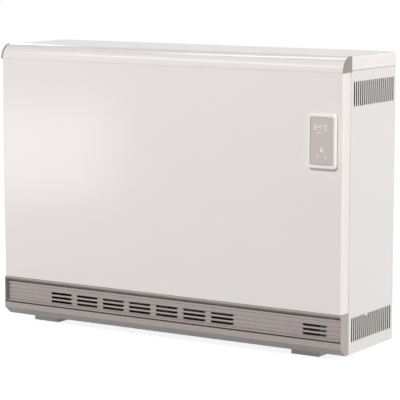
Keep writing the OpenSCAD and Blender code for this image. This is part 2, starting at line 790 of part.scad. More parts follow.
module inner_front_plate() color(zinc)
    block([liner_left, liner_front, shelf_top + fit],
          [liner_right, liner_front + sheet_t, liner_top - sheet_t - fit]);
module inner_back_plate() color(zinc)
    block([liner_left, liner_back - sheet_t, shelf_top + fit],
          [liner_right, liner_back, liner_top - sheet_t - fit]);
module inner_left_plate() color(zinc)
    block([liner_left, liner_front + sheet_t + fit, shelf_top + fit],
          [liner_left + sheet_t, liner_back - sheet_t - fit, liner_top - sheet_t - fit]);
module inner_top_plate() color(zinc)
    block([liner_left, liner_front, liner_top - sheet_t], [liner_right, liner_back, liner_top]);

bush_wall = 4;
bush_d = element_d + 2 * bush_wall;
bush_neck_d = bush_d - bush_wall;
sensor_d = 6;
sensor_z = element_z(1) + brick_h;
sensor_y = (core_front + core_back) / 2;
module element_passages(x0, x1, d) {
    for (i = [0:element_count - 1], y = leg_y) rod_x(x0, x1, y, element_z(i), d);
    rod_x(x0, x1, sensor_y, sensor_z, sensor_d + 2 * fit);
}

// Wall between the core and the electrical compartment
module partition_plate() {
    color(zinc) difference() {
        block([partition_x - sheet_t, liner_front + fit, base_top + fit],
              [partition_x, back_inner - 2 * fit - sheet_t, liner_top]);
        element_passages(partition_x - sheet_t - 1, partition_x + 1, bush_neck_d);
    }
}

// Ceramic bushes that carry the elements through the partition
module element_bushes() {
    collar_t = 4;
    color("#efe6d8") for (i = [0:element_count - 1], y = leg_y) difference() {
        union() {
            rod_x(partition_x - sheet_t, partition_x + fit, y, element_z(i), bush_neck_d - fit);
            rod_x(partition_x + fit, partition_x + fit + collar_t, y, element_z(i), bush_d);
        }
        rod_x(partition_x - sheet_t - 1, partition_x + collar_t + 1, y, element_z(i), element_d + fit);
    }
}

module insulation_base() {
    color(wool) difference() {
        block([liner_left + sheet_t + fit, liner_front + sheet_t + fit, shelf_top + fit],
              [liner_right - fit, liner_back - sheet_t - fit, shelf_top + fit + base_insulation_t]);
        brick_channels(shelf_top - 1, shelf_top + base_insulation_t + 1);
    }
}
module insulation_left() color(wool)
    block([liner_left + sheet_t + fit, core_front, core_bottom],
          [core_left - fit, core_back, core_top]);
module insulation_right() {
    color(wool) difference() {
        block([core_right + fit, core_front, core_bottom], [liner_right, core_back, core_top]);
        element_passages(core_right - 1, liner_right + 1, element_d + 2 * fit);
    }
}
module insulation_front() color(wool)
    block([liner_left + sheet_t + fit, liner_front + sheet_t + fit, core_bottom],
          [liner_right, core_front - fit, core_top]);
module insulation_back() color(wool)
    block([liner_left + sheet_t + fit, core_back + fit, core_bottom],
          [liner_right, liner_back - sheet_t - fit, core_top]);

// Lid of the core, hollowed below so that the air can turn round
module insulation_top() {
    turn_h = 14;
    color(wool) difference() {
        block([liner_left + sheet_t + fit, liner_front + sheet_t + fit, core_top + fit],
              [liner_right, liner_back - sheet_t - fit, liner_top - sheet_t - fit]);
        for (i = [0:brick_columns - 1]) along_z(core_top - 1, core_top + turn_h)
            translate([core_left + (i + 0.5) * brick_l, (core_front + core_back) / 2])
                square([channel_l, brick_d - channel_d], center = true);
    }
}

module core_sensor() {
    nut_af = 12;
    nut_h = 5;
    color(steel) {
        rod_x(core_right + fit, terminal_x, sensor_y, sensor_z, sensor_d);
        translate([partition_x + fit, sensor_y, sensor_z]) rotate([0, 90, 0])
            cylinder(h = nut_h, d = nut_af / cos(30), $fn = 6);
    }
}

// ---------------------------------------------------------------- fan

end_plate_t = 1.5;
impeller_gap = 1.5;
impeller_start = motor_w / 2 + end_plate_t + impeller_gap;
bearing_wall = 5;
bearing_d = shaft_d + 2 * bearing_wall;
bearing_w = 8;
housing_x = impeller_start + impeller_l + impeller_gap + end_plate_t;

// Housing of the crossflow fan: spiral rear wall, tongue and end plates
module fan_housing() {
    spiral_from = -60;
    spiral_to = 112;
    spiral_steps = 14;
    scroll_gap = 3;
    start_r = impeller_r + scroll_gap;
    duct_rise = 3;
    spiral = [for (i = [0:spiral_steps])
        let (s = i / spiral_steps, a = spiral_from + (spiral_to - spiral_from) * s)
        [fan_y, fan_z] + (start_r + (housing_r - start_r) * s) * [cos(a), sin(a)]];
    roof_tail = 8;
    roof_rise = 1;
    tongue_gap = 2;
    tongue_angle = 200;
    tongue_fold = [-2, -5];
    wall = concat(spiral, [[flap_y + flap_d + roof_tail, spiral[spiral_steps][1] + roof_rise]]);
    tongue_tip = [fan_y, fan_z] + (impeller_r + tongue_gap) * [cos(tongue_angle), sin(tongue_angle)];
    duct_floor = [tongue_tip, tongue_tip + tongue_fold, [duct_y, rail_top + duct_rise]];
    color(zinc) {
        for (side = [-1, 1]) along_x(core_middle + min(side * housing_x, side * motor_w / 2),
                                     core_middle + max(side * housing_x, side * motor_w / 2)) {
            polygon(rolled(wall, -end_plate_t));
            polygon(rolled(duct_floor, end_plate_t));
        }
        for (x = [-housing_x, -motor_w / 2 - end_plate_t, motor_w / 2, housing_x - end_plate_t])
            difference() {
                along_x(core_middle + x, core_middle + x + end_plate_t)
                    polygon([[fan_y - housing_r, base_top + fit], [fan_y + housing_r, base_top + fit],
                             [fan_y + housing_r, fan_z],
                             [fan_y + housing_r * cos(45), fan_z + housing_r * sin(45)],
                             [fan_y, fan_z + housing_r], [fan_y - housing_r, fan_z + housing_r]]);
                rod_x(core_middle + x - 1, core_middle + x + end_plate_t + 1, fan_y, fan_z, bearing_d + fit);
            }
    }
}

module bearing(x) {
    color("#c08a3e") difference() {
        rod_x(x, x + bearing_w, fan_y, fan_z, bearing_d);
        rod_x(x - 1, x + bearing_w + 1, fan_y, fan_z, shaft_d + running_fit);
    }
}
module fan_bearings() {
    bearing(core_middle - housing_x - bearing_w + end_plate_t);
    bearing(core_middle + housing_x - end_plate_t);
}

rotor_d = 26;
rotor_l = 28;
// Shaft with the motor's rotor in the middle
module fan_shaft() {
    end = housing_x + bearing_w;
    color(steel) {
        rod_x(core_middle - end, core_middle + end, fan_y, fan_z, shaft_d);
        rod_x(core_middle - rotor_l / 2, core_middle + rotor_l / 2, fan_y, fan_z, rotor_d);
    }
}

// Laminated stator, its coil and the two bearing brackets of the motor
module fan_motor() {
    stack_step = 2;
    stack_w = rotor_l - 2 * stack_step;
    stack_d = 44;
    stack_wall = 8;
    stack_front = fan_y - rotor_d / 2 - stack_wall;
    stack_edge = 10;
    bolt_d = 4;
    bracket_wall = 2;
    bracket_w = bearing_d + 2 * bracket_wall;
    coil_w = 38;
    coil_d = 20;
    coil_wall = 2;
    coil_h = rotor_d + 2 * coil_wall;
    coil_r = 3;
    air_gap = 0.6;
    bracket_t = 2;
    inner = motor_w / 2 - fit;
    low = fan_z - rotor_d / 2 - stack_edge;
    high = fan_z + rotor_d / 2 + stack_edge;
    color("#5b5f63") difference() {
        union() {
            block([core_middle - stack_w / 2, stack_front, low],
                  [core_middle + stack_w / 2, stack_front + stack_d, high]);
            for (side = [-1, 1]) along_x(core_middle + side * inner - (side > 0 ? bracket_t : 0),
                                         core_middle + side * inner + (side > 0 ? 0 : bracket_t))
                translate([fan_y, fan_z]) slot(stack_d, bracket_w);
            for (dy = [-1, 1])
                rod_x(core_middle - inner, core_middle + inner, fan_y + dy * (stack_d / 2 - bolt_d),
                      fan_z, bolt_d);
        }
        rod_x(core_middle - motor_w, core_middle + motor_w, fan_y, fan_z, shaft_d + running_fit);
        rod_x(core_middle - rotor_l / 2 - 1, core_middle + rotor_l / 2 + 1, fan_y, fan_z,
              rotor_d + 2 * air_gap);
    }
    color("#9c5a2e") difference() {
        along_x(core_middle - coil_w / 2, core_middle + coil_w / 2)
            translate([stack_front + stack_d - coil_d / 2, fan_z]) rounded_rectangle(coil_d, coil_h, coil_r);
        rod_x(core_middle - coil_w, core_middle + coil_w, fan_y, fan_z, rotor_d + 2 * air_gap);
    }
}

// Crossflow impeller: a ring of curved blades between discs
blade_inset = 0.4;
blade_curve = 1.6;
function blade() =
    let (tip_r = impeller_r - blade_inset, root_r = tip_r - blade_depth, steps = 4,
         line = [for (i = [0:steps]) let (part = i / steps)
             [root_r + blade_depth * part, blade_sweep * pow(part, blade_curve)]])
    concat([for (p = line) p[0] * [cos(p[1]), sin(p[1])]],
           reversed([for (p = line) let (a = p[1] + blade_t / p[0] * 180 / PI) p[0] * [cos(a), sin(a)]]));

module impeller(x) {
    disc_t = 1.2;
    discs = 3;
    hub_l = 8;
    hub_wall = 3;
    color("#3c3f42") difference() {
        union() {
            translate([x, fan_y, fan_z]) rotate([0, 90, 0]) {
                linear_extrude(impeller_l) for (i = [0:blade_count - 1])
                    rotate(i * 360 / blade_count) polygon(blade());
                for (i = [0:discs - 1]) translate([0, 0, i * (impeller_l - disc_t) / (discs - 1)])
                    cylinder(h = disc_t, r = impeller_r);
                for (z = [0, impeller_l - hub_l]) translate([0, 0, z])
                    cylinder(h = hub_l, d = shaft_d + 2 * hub_wall);
            }
        }
        rod_x(x - 1, x + impeller_l + 1, fan_y, fan_z, shaft_d + fit / 2);
    }
}
module impeller_left() impeller(core_middle - impeller_start - impeller_l);
module impeller_right() impeller(core_middle + impeller_start);

// ---------------------------------------------------------------- bypass flap

pin_l = 18;
// Plate that lets hot air from the core into the outlet duct
module bypass_flap() {
    tip_h = 6;
    plate = [[flap_y, flap_z + flap_t / 2], [flap_y + flap_d, flap_z + flap_t / 2],
             [flap_y + flap_d, flap_z + flap_t / 2 - tip_h]];
    color(zinc) {
        along_x(flap_left, flap_right) {
            polygon(folded(plate, -flap_t, bend_r));
            translate([flap_y, flap_z]) circle(d = flap_pin_d);
        }
        rod_x(flap_left - pin_l, flap_left, flap_y, flap_z, flap_pin_d);
        rod_x(flap_right, flap_right + pin_l, flap_y, flap_z, flap_pin_d);
    }
}

bush_w = 7;
bush_gap = 2;
module flap_bushes() {
    half = flap_pin_d;
    color("#e8e2d2") for (x = [flap_left - bush_gap - bush_w, flap_right + bush_gap]) difference() {
        block([x, flap_y - half, flap_z - half], [x + bush_w, flap_y + half, shelf_top - sheet_t - fit]);
        rod_x(x - 1, x + bush_w + 1, flap_y, flap_z, flap_pin_d + running_fit);
    }
}

// Bimetal coil that turns the flap as the outlet air warms
module flap_bimetal() {
    strip_t = 0.6;
    strip_w = 8;
    turns = 2.5;
    gap = 1.6;
    steps = 40;
    tail = 3;
    start_r = flap_pin_d / 2 + slide_fit;
    spiral = [for (i = [0:steps]) let (a = i / steps * turns * 360, r = start_r + gap * a / 360)
        [flap_y, flap_z] + r * [cos(a - 90), sin(a - 90)]];
    x0 = flap_left - pin_l;
    last = spiral[steps] - [tail, 0];
    hook = [last, [last[0], shelf_top - sheet_t - fit]];
    color("#b08a4a") along_x(x0, x0 + strip_w) polygon(rolled(concat(spiral, hook), -strip_t));
}

// ---------------------------------------------------------------- electrical parts

chassis_x = partition_x + chassis_gap;
chassis_y = [back_inner - chassis_back - chassis_d, back_inner - chassis_back];
terminal_z = chassis_low + terminal_rise;
terminal_cells = 5;
cell_pitch = 18;
barrier_t = 2;
contactor_z = terminal_z + terminal_cells * cell_pitch + barrier_t + contactor_rise;
contactor_h = 76;
board_z = contactor_z + contactor_h + board_rise;
board_h = 130;
board_t = 1.6;
limiter_z = board_z + board_h + limiter_rise;
// Plate on the partition that carries the electrical parts
module chassis_plate() {
    section = [[partition_x + fit, chassis_y[0]], [chassis_x, chassis_y[0]],
               [chassis_x, chassis_y[1]], [partition_x + fit, chassis_y[1]]];
    color(zinc) along_z(chassis_low, chassis_low + chassis_h) polygon(folded(section));
}

part_x = chassis_x + fit;
part_margin = 3;
part_y = chassis_y[0] + part_margin;
part_w = chassis_d - 2 * part_margin;

// Mains terminal block: a row of cells between barriers, with screws
module terminal_block() {
    base_h = 14;
    barrier_h = 28;
    stud_inset_y = 14;
    nut_h = 6;
    nut_d = 8;
    high = terminal_z + terminal_cells * cell_pitch + barrier_t;
    color("#d8d4cc") {
        block([part_x, part_y, terminal_z], [part_x + base_h, part_y + part_w, high]);
        for (i = [0:terminal_cells]) let (z = terminal_z + i * cell_pitch)
            block([part_x, part_y, z], [part_x + barrier_h, part_y + part_w, z + barrier_t]);
    }
    color("#b58b3a") for (i = [0:terminal_cells - 1],
                          y = [part_y + stud_inset_y, part_y + part_w - stud_inset_y])
        rod_x(part_x + base_h, part_x + base_h + nut_h, y,
              terminal_z + (i + 0.5) * cell_pitch + barrier_t / 2, nut_d);
}

// Contactor that switches the elements: a stepped block with terminals
module contactor() {
    depth = 58;
    step = 14;
    pole_d = 7;
    pole_depth = 5;
    z0 = contactor_z;
    h = contactor_h;
    color("#c9c6bf") difference() {
        along_y(part_y, part_y + part_w) polygon([
            [part_x, z0], [part_x + depth - step, z0], [part_x + depth - step, z0 + step],
            [part_x + depth, z0 + step], [part_x + depth, z0 + h - step],
            [part_x + depth - step, z0 + h - step], [part_x + depth - step, z0 + h], [part_x, z0 + h]]);
        for (i = [0:3], z = [z0 + step / 2, z0 + h - step / 2])
            rod_x(part_x + depth - step - pole_depth, part_x + depth + 1,
                  part_y + (i + 0.5) * part_w / 4, z, pole_d);
    }
}

// Control board on four standoffs, with its relays and capacitors
module control_board() {
    z0 = board_z;
    h = board_h;
    standoff_h = 8;
    standoff_d = 6;
    standoff_inset = 5;
    relay = [16, 20, 18];
    relay_start = [12, 14];
    relay_pitch = 26;
    capacitor_d = 9;
    capacitor_h = 14;
    capacitor_inset = 14;
    capacitor_start = 18;
    capacitor_pitch = 20;
    strip_h = 10;
    strip_w = 12;
    strip_inset = 14;
    face = part_x + standoff_h + board_t;
    color("#2f6b3f") {
        block([part_x + standoff_h, part_y, z0], [face, part_y + part_w, z0 + h]);
        for (y = [part_y + standoff_inset, part_y + part_w - standoff_inset],
             z = [z0 + standoff_inset, z0 + h - standoff_inset])
            rod_x(part_x, part_x + standoff_h, y, z, standoff_d);
    }
    color("#1f3f6b") for (i = [0:2])
        let (low = [face, part_y + relay_start[0], z0 + relay_start[1] + i * relay_pitch])
            block(low, low + relay);
    color("#444444") for (i = [0:3])
        rod_x(face, face + capacitor_h, part_y + part_w - capacitor_inset,
              z0 + capacitor_start + i * capacitor_pitch, capacitor_d);
    color("#e0ddd2") block([face, part_y + strip_w, z0 + h - strip_inset - strip_w],
                           [face + strip_h, part_y + part_w - strip_w, z0 + h - strip_inset]);
}

// Safety temperature limiter: a round can on a bracket
module temperature_limiter() {
    can_d = 34;
    can_h = 16;
    bracket_t = 2;
    bracket_edge = 4;
    half = can_d / 2 + bracket_edge;
    blade_spread = 9;
    blade = [8, 6, 1];
    middle = part_y + part_w / 2;
    face = part_x + bracket_t + can_h;
    color(zinc) block([part_x, part_y, limiter_z - half],
                      [part_x + bracket_t, part_y + part_w, limiter_z + half]);
    color("#c4b8a0") {
        rod_x(part_x + bracket_t, face, middle, limiter_z, can_d);
        for (s = [-1, 1]) translate([face + blade[0] / 2, middle + s * blade_spread, limiter_z])
            cube(blade, center = true);
    }
}

// Room sensor on its zinc bracket behind the right-hand air slots
module room_sensor() {
    w = 36;
    shift = 3;
    bead_d = 7;
    bead_drop = 8;
    toe = 18;
    left = partition_x + compartment_w / 2 + shift;
    top = groove_z(2) + 6;
    bracket = [[duct_y, top], [duct_y, base_top + fit], [duct_y + toe, base_top + fit]];
    color(zinc) along_x(left, left + w) polygon(folded(bracket));
    color("#e6e1d6") translate([left + w / 2, duct_y, top - bead_drop]) sphere(d = bead_d);
}

// Rubber grommet at the cable entry in the back panel
module cable_grommet() {
    lip_t = 1.2;
    inner_t = 5;
    lip_r = grommet_neck_d / 2 + grommet_wall;
    nose = 2;
    bore_r = cable_d / 2;
    neck = sheet_t + 2 * fit;
    color("#333333") translate([cable_x, back_outer + fit + lip_t, cable_height]) rotate([90, 0, 0])
        rotate_extrude() polygon([
            [bore_r, 0], [lip_r, 0], [lip_r, lip_t], [grommet_neck_d / 2, lip_t],
            [grommet_neck_d / 2, lip_t + neck], [lip_r, lip_t + neck],
            [lip_r - nose, lip_t + neck + inner_t], [bore_r, lip_t + neck + inner_t]]);
}

// ---------------------------------------------------------------- display

screen_drop = 0.6;
screen_t = 2;
display_edge_r = 3.5;
screen_r = display_r - display_edge_r;

module on_display(y0, y1) along_y(y0, y1) translate([display_x, display_z]) children();

// Section through the display's rim, w wide, with soft front edges
function rim_section(w) = let (back = y_front - display_foot_d)
    concat([[-w / 2, back]],
           corner([-w / 2, back], [-w / 2, display_face], [w / 2, display_face], display_edge_r),
           corner([-w / 2, display_face], [w / 2, display_face], [w / 2, back], display_edge_r),
           [[w / 2, back]]);

// Housing of the display: a soft-edged rim on a narrower foot, open at the back
module display_housing() {
    ledge_w = 2;
    flat_w = display_w - 2 * display_r;
    flat_h = display_h - 2 * display_r;
    foot_w = display_w - 2 * display_foot_inset;
    foot_h = display_h - 2 * display_foot_inset;
    color(white) difference() {
        union() {
            on_display(y_front - display_foot_d - 1, y_front - fit)
                rounded_rectangle(foot_w, foot_h, display_r - display_foot_inset);
            translate([display_x, 0, display_z]) {
                along_z(-flat_h / 2, flat_h / 2) polygon(rim_section(display_w));
                along_x(-flat_w / 2, flat_w / 2) polygon([for (p = rim_section(display_h)) [p[1], p[0]]]);
                for (x = [-1, 1], z = [-1, 1]) translate([x * flat_w / 2, 0, z * flat_h / 2])
                    rotate([-90, 0, 0]) rotate_extrude($fn = 32) intersection() {
                        polygon(rim_section(2 * display_r));
                        translate([0, display_face - 1]) square([display_r, display_proud]);
                    }
            }
        }
        on_display(display_face - 1, display_face + screen_drop + screen_t + fit)
            rounded_rectangle(screen_w + 2 * fit, screen_h + 2 * fit, screen_r);
        on_display(display_face - 1, y_front + 1)
            rounded_rectangle(screen_w - 2 * ledge_w, screen_h - 2 * ledge_w, screen_r - ledge_w);
    }
}

module display_screen() {
    color("#cbc1bf") on_display(display_face + screen_drop, display_face + screen_drop + screen_t)
        rounded_rectangle(screen_w, screen_h, screen_r);
}

// Board behind the screen, with a socket that reaches through the front panel
module display_board() {
    y0 = display_face + screen_drop + screen_t + fit;
    margin = 3;
    socket = [18, 12];
    socket_reach = 8;
    y1 = y0 + board_t;
    color("#2f6b3f") on_display(y0, y1) square([screen_w - 2 * margin, screen_h - 2 * margin], center = true);
    color("#e0ddd2") on_display(y1, y_front + socket_reach) square(socket, center = true);
}

base_plate();
foot_left();
foot_right();
back_panel();
left_side_panel();
right_side_panel();
top_cover();
front_panel();
front_trim();
trim_cap_left();
trim_cap_right();
outlet_frame();
outlet_grille();
grille_studs();
grille_clips();
front_panel_screws();
casing_screws();
core_shelf();
inner_front_plate();
inner_back_plate();
inner_left_plate();
inner_top_plate();
partition_plate();
brick_layer_1();
brick_layer_2();
brick_layer_3();
brick_layer_4();
brick_layer_5();
brick_layer_6();
brick_layer_7();
heating_element_1();
heating_element_2();
heating_element_3();
element_bushes();
insulation_base();
insulation_left();
insulation_right();
insulation_front();
insulation_back();
insulation_top();
core_sensor();
fan_housing();
fan_motor();
fan_bearings();
fan_shaft();
impeller_left();
impeller_right();
bypass_flap();
flap_bushes();
flap_bimetal();
chassis_plate();
terminal_block();
contactor();
control_board();
temperature_limiter();
room_sensor();
cable_grommet();
display_housing();
display_screen();
display_board();
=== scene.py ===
"""Looks of a fan storage heater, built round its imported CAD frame.

The casing, the outlet, the display and the feet are modelled afresh over the frame's nodes. Every other node
keeps its shape and gets a finish. All lengths are in metres: X runs along the front, Y back, Z up.
"""

import json
import logging
import math
from dataclasses import dataclass, field
from enum import Enum
from typing import Callable, Sequence, Union

import bmesh
import bpy
from mathutils import Matrix, Vector


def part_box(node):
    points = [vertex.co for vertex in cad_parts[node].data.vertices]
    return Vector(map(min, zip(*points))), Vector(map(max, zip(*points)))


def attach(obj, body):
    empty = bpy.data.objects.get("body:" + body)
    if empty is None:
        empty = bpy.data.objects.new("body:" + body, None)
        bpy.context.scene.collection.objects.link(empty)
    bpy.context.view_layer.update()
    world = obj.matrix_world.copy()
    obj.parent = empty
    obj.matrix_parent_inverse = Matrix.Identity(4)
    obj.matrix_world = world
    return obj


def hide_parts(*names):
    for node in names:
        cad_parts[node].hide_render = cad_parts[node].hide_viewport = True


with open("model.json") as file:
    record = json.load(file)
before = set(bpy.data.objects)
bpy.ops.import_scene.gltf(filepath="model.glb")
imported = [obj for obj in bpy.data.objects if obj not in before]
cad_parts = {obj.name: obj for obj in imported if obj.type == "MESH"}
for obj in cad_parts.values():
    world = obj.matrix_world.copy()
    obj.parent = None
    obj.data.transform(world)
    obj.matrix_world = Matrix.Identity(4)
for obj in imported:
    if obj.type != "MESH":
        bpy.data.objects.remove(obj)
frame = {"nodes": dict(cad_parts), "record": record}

log = logging.getLogger("storage_heater")

MM = 0.001
TOUCH = 1e-5  # two places nearer than this are one
ALIGNED = 0.9  # a direction whose share along an axis is above this faces along it
STRAIGHT = 0.999  # and above this it runs along it
ROUND = 0.49  # share of a slot's width that its corners take, just short of meeting
SMOOTH = math.radians(40)  # faces that meet at less than this are shaded as one
MIRROR = Matrix.Scale(-1, 4, (1, 0, 0))

Point = tuple[float, float]
Colour = tuple[float, float, float]
Stretch = tuple[float, float, float]
Stops = tuple[Point, ...]
Test = Callable[[Vector, Vector], bool]


# ------------------------------------------------------------------ shaders


class Value:
    """A shader socket that takes part in Python arithmetic."""

    def __init__(self, tree: "Tree", socket: bpy.types.NodeSocket) -> None:
        """Wrap one output socket of a tree."""
        self.tree = tree
        self.socket = socket

    def _math(self, operation: str, first: "Number", second: "Number") -> "Value":
        """Add one Math node and return its result."""
        return self.tree.add("ShaderNodeMath", {"operation": operation}, {0: first, 1: second})

    def __add__(self, other: "Number") -> "Value":
        """Return self + other."""
        return self._math("ADD", self, other)

    def __sub__(self, other: "Number") -> "Value":
        """Return self - other."""
        return self._math("SUBTRACT", self, other)

    def __rsub__(self, other: "Number") -> "Value":
        """Return other - self."""
        return self._math("SUBTRACT", other, self)

    def __mul__(self, other: "Number") -> "Value":
        """Return self * other."""
        return self._math("MULTIPLY", self, other)

    __radd__ = __add__
    __rmul__ = __mul__


Number = Union[Value, float]


class Tree:
    """The node tree of a world or a material."""

    def __init__(self, nodes: bpy.types.NodeTree) -> None:
        """Take Blender's own node tree."""
        self.nodes = nodes

    def add(self, kind: str, settings: dict, inputs: dict, output: Union[int, str] = 0) -> Value:
        """Add a node.

        Args:
            kind: The node's type.
            settings: Its settings, and "stops" for a ramp.
            inputs: Values or links of its sockets.
            output: The socket that is returned.

        Returns:
            The chosen output.
        """
        node = self.nodes.nodes.new(kind)
        for key, value in settings.items():
            if key == "stops":
                self._set_stops(node.color_ramp, value)
            else:
                setattr(node, key, value)
        for key, value in inputs.items():
            self.feed(node.inputs[key], value)
        return Value(self, node.outputs[output])

    @staticmethod
    def _set_stops(ramp: bpy.types.ColorRamp, stops: Sequence[Point]) -> None:
        """Give a ramp its grey stops.

        Args:
            ramp: The ramp of a node.
            stops: Pairs of position and brightness.
        """
        while len(ramp.elements) < len(stops):
            ramp.elements.new(1.0)
        for element, (position, grey) in zip(ramp.elements, stops):
            element.position = position
            element.color = (grey, grey, grey, 1.0)

    def feed(self, socket: bpy.types.NodeSocket, value: object) -> None:
        """Feed a socket.

        Args:
            socket: An input socket of this tree.
            value: A Value to link to it, or a plain number, vector or colour to set on it.
        """
        if isinstance(value, Value):
            self.nodes.links.new(value.socket, socket)
        elif isinstance(value, tuple) and len(value) == 3 and socket.type == "RGBA":
            socket.default_value = (*value, 1.0)
        else:
            socket.default_value = value


class Graph(Tree):
    """The node tree of one material, with its Principled shader."""

    def __init__(self, name: str) -> None:
        """Start a material.

        Args:
            name: The material's name.
        """
        self.material = bpy.data.materials.new(name)
        self.material.use_nodes = True
        super().__init__(self.material.node_tree)
        self.shader = self.nodes.nodes["Principled BSDF"]
        self.place = self.add("ShaderNodeTexCoord", {}, {}, "Object")

    def put(self, name: str, value: object) -> None:
        """Feed one socket of the Principled shader."""
        self.feed(self.shader.inputs[name], value)

    def noise(self, size: float, detail: float = 2.0, stretch: Sequence[float] = (1, 1, 1)) -> Value:
        """Add a noise.

        Args:
            size: The size of its spots.
            detail: Its octaves.
            stretch: How much longer the spots are along each axis.

        Returns:
            A value of about 0 to 1.
        """
        scale = tuple(1 / (size * s) for s in stretch)
        place = self.add("ShaderNodeMapping", {}, {"Vector": self.place, "Scale": scale})
        return self.add("ShaderNodeTexNoise", {}, {"Vector": place, "Scale": 1.0, "Detail": detail}, "Fac")

    def cells(self, size: float) -> Value:
        """Return a pattern of cells, each in a colour of its own."""
        return self.add("ShaderNodeTexVoronoi", {}, {"Vector": self.place, "Scale": 1 / size}, "Color")

    def ramp(self, value: Value, *stops: Point) -> Value:
        """Return a value sent through a grey ramp."""
        return self.add("ShaderNodeValToRGB", {"stops": stops}, {"Fac": value})

    def blend(self, factor: Number, first: object, second: object) -> Value:
        """Return a colour between two colours."""
        return self.add("ShaderNodeMix", {"data_type": "RGBA"}, {0: factor, 6: first, 7: second}, 2)

    def bump(self, height: Value, depth: float) -> Value:
        """Return a normal that a height disturbs by a depth."""
        return self.add("ShaderNodeBump", {}, {"Height": height, "Distance": depth, "Strength": 1.0})


def shade(colour: Colour, factor: float) -> Colour:
    """Return a colour made lighter or darker by a factor."""
    return tuple(min(1.0, c * factor) for c in colour)


@dataclass(frozen=True)
class Finish:
    """A finish, the record's slot that it belongs to and the variant of that slot, if it is one."""

    slot: str
    colour: Colour
    roughness: float
    metallic: float = 0.0
    variant: str = ""

    def material(self) -> bpy.types.Material:
        """Make the finish's material on its first use.

        Returns:
            The material, the same one each time.
        """
        name = f"{self.slot}{self.variant}_finish"
        known = bpy.data.materials.get(name)
        if known:
            return known
        graph = Graph(name)
        graph.put("Metallic", self.metallic)
        self.dress(graph)
        return graph.material

    def toned(self, graph: Graph, factor: Number, tones: Point) -> Value:
        """Return the finish's colour between two tones, each a factor of its brightness."""
        return graph.blend(factor, shade(self.colour, tones[0]), shade(self.colour, tones[1]))

    def dress(self, graph: Graph) -> None:
        """Give the shader its plain colour and gloss."""
        graph.put("Base Color", self.colour)
        graph.put("Roughness", self.roughness)


@dataclass(frozen=True)
class Enamel(Finish):
    """Stoved enamel on sheet steel, with a faint orange peel."""

    drift: float = 0.35
    speckle: float = 0.5 * MM
    tones: Point = (0.985, 1.015)
    gloss: float = 0.05
    peel: float = 1.4 * MM
    peel_depth: float = 0.006 * MM

    def dress(self, graph: Graph) -> None:
        """Add a drifting tone, a fine speckle in the gloss and the orange peel.

        Args:
            graph: The material's tree.
        """
        drift = graph.noise(self.drift, detail=3.0)
        speckle = graph.noise(self.speckle, detail=1.0)
        graph.put("Base Color", self.toned(graph, drift, self.tones))
        graph.put("Roughness", self.roughness + self.gloss * (speckle - 0.5) + self.gloss * (drift - 0.5))
        graph.put("Normal", graph.bump(graph.noise(self.peel), self.peel_depth))


@dataclass(frozen=True)
class MouldedPlastic(Finish):
    """Moulded plastic with a fine spark-eroded grain."""

    flow: float = 25 * MM
    flow_stretch: Stretch = (3, 1, 1)
    tones: Point = (0.98, 1.02)
    gloss: float = 0.08
    grain: float = 0.35 * MM
    grain_depth: float = 0.008 * MM

    def dress(self, graph: Graph) -> None:
        """Add a faint flow in the tone and the fine grain.

        Args:
            graph: The material's tree.
        """
        flow = graph.noise(self.flow, stretch=self.flow_stretch)
        grain = graph.noise(self.grain)
        graph.put("Base Color", self.toned(graph, flow, self.tones))
        graph.put("Roughness", self.roughness + self.gloss * (grain - 0.5))
        graph.put("Normal", graph.bump(grain, self.grain_depth))


@dataclass(frozen=True)
class ZincSheet(Finish):
    """Galvanised sheet with its spangle of crystals."""

    spangle: float = 9 * MM
    spangle_stops: Stops = ((0.0, 0.0), (1.0, 1.0))
    line: float = 0.8 * MM
    line_stretch: Stretch = (40, 1, 1)
    tones: Point = (0.85, 1.12)
    gloss: Point = (0.12, 0.06)
    relief: float = 0.004 * MM

    def dress(self, graph: Graph) -> None:
        """Add crystals of different tone and gloss, and rolling lines.

        Args:
            graph: The material's tree.
        """
        crystal = graph.ramp(graph.cells(self.spangle), *self.spangle_stops)
        lines = graph.noise(self.line, stretch=self.line_stretch)
        graph.put("Base Color", self.toned(graph, crystal, self.tones))
        graph.put("Roughness",
                  self.roughness + self.gloss[0] * (crystal - 0.5) + self.gloss[1] * (lines - 0.5))
        graph.put("Normal", graph.bump(lines, self.relief))


@dataclass(frozen=True)
class TurnedMetal(Finish):
    """Drawn or turned metal with fine lines and a little tarnish."""

    tarnish: float = 0.25
    blotch: float = 7 * MM
    blotch_stops: Stops = ((0.35, 0.0), (0.75, 1.0))
    line: float = 0.3 * MM
    line_stretch: Stretch = (12, 1, 1)
    tones: Point = (1.0, 0.45)
    gloss: Point = (0.1, 0.2)
    relief: float = 0.003 * MM

    def dress(self, graph: Graph) -> None:
        """Add fine lines in the gloss and a blotched tarnish in the colour.

        Args:
            graph: The material's tree.
        """
        lines = graph.noise(self.line, stretch=self.line_stretch)
        blotch = graph.ramp(graph.noise(self.blotch, detail=4.0), *self.blotch_stops)
        graph.put("Base Color", self.toned(graph, self.tarnish * blotch, self.tones))
        graph.put("Roughness",
                  self.roughness + self.gloss[0] * (lines - 0.5) + self.gloss[1] * self.tarnish * blotch)
        graph.put("Normal", graph.bump(lines, self.relief))


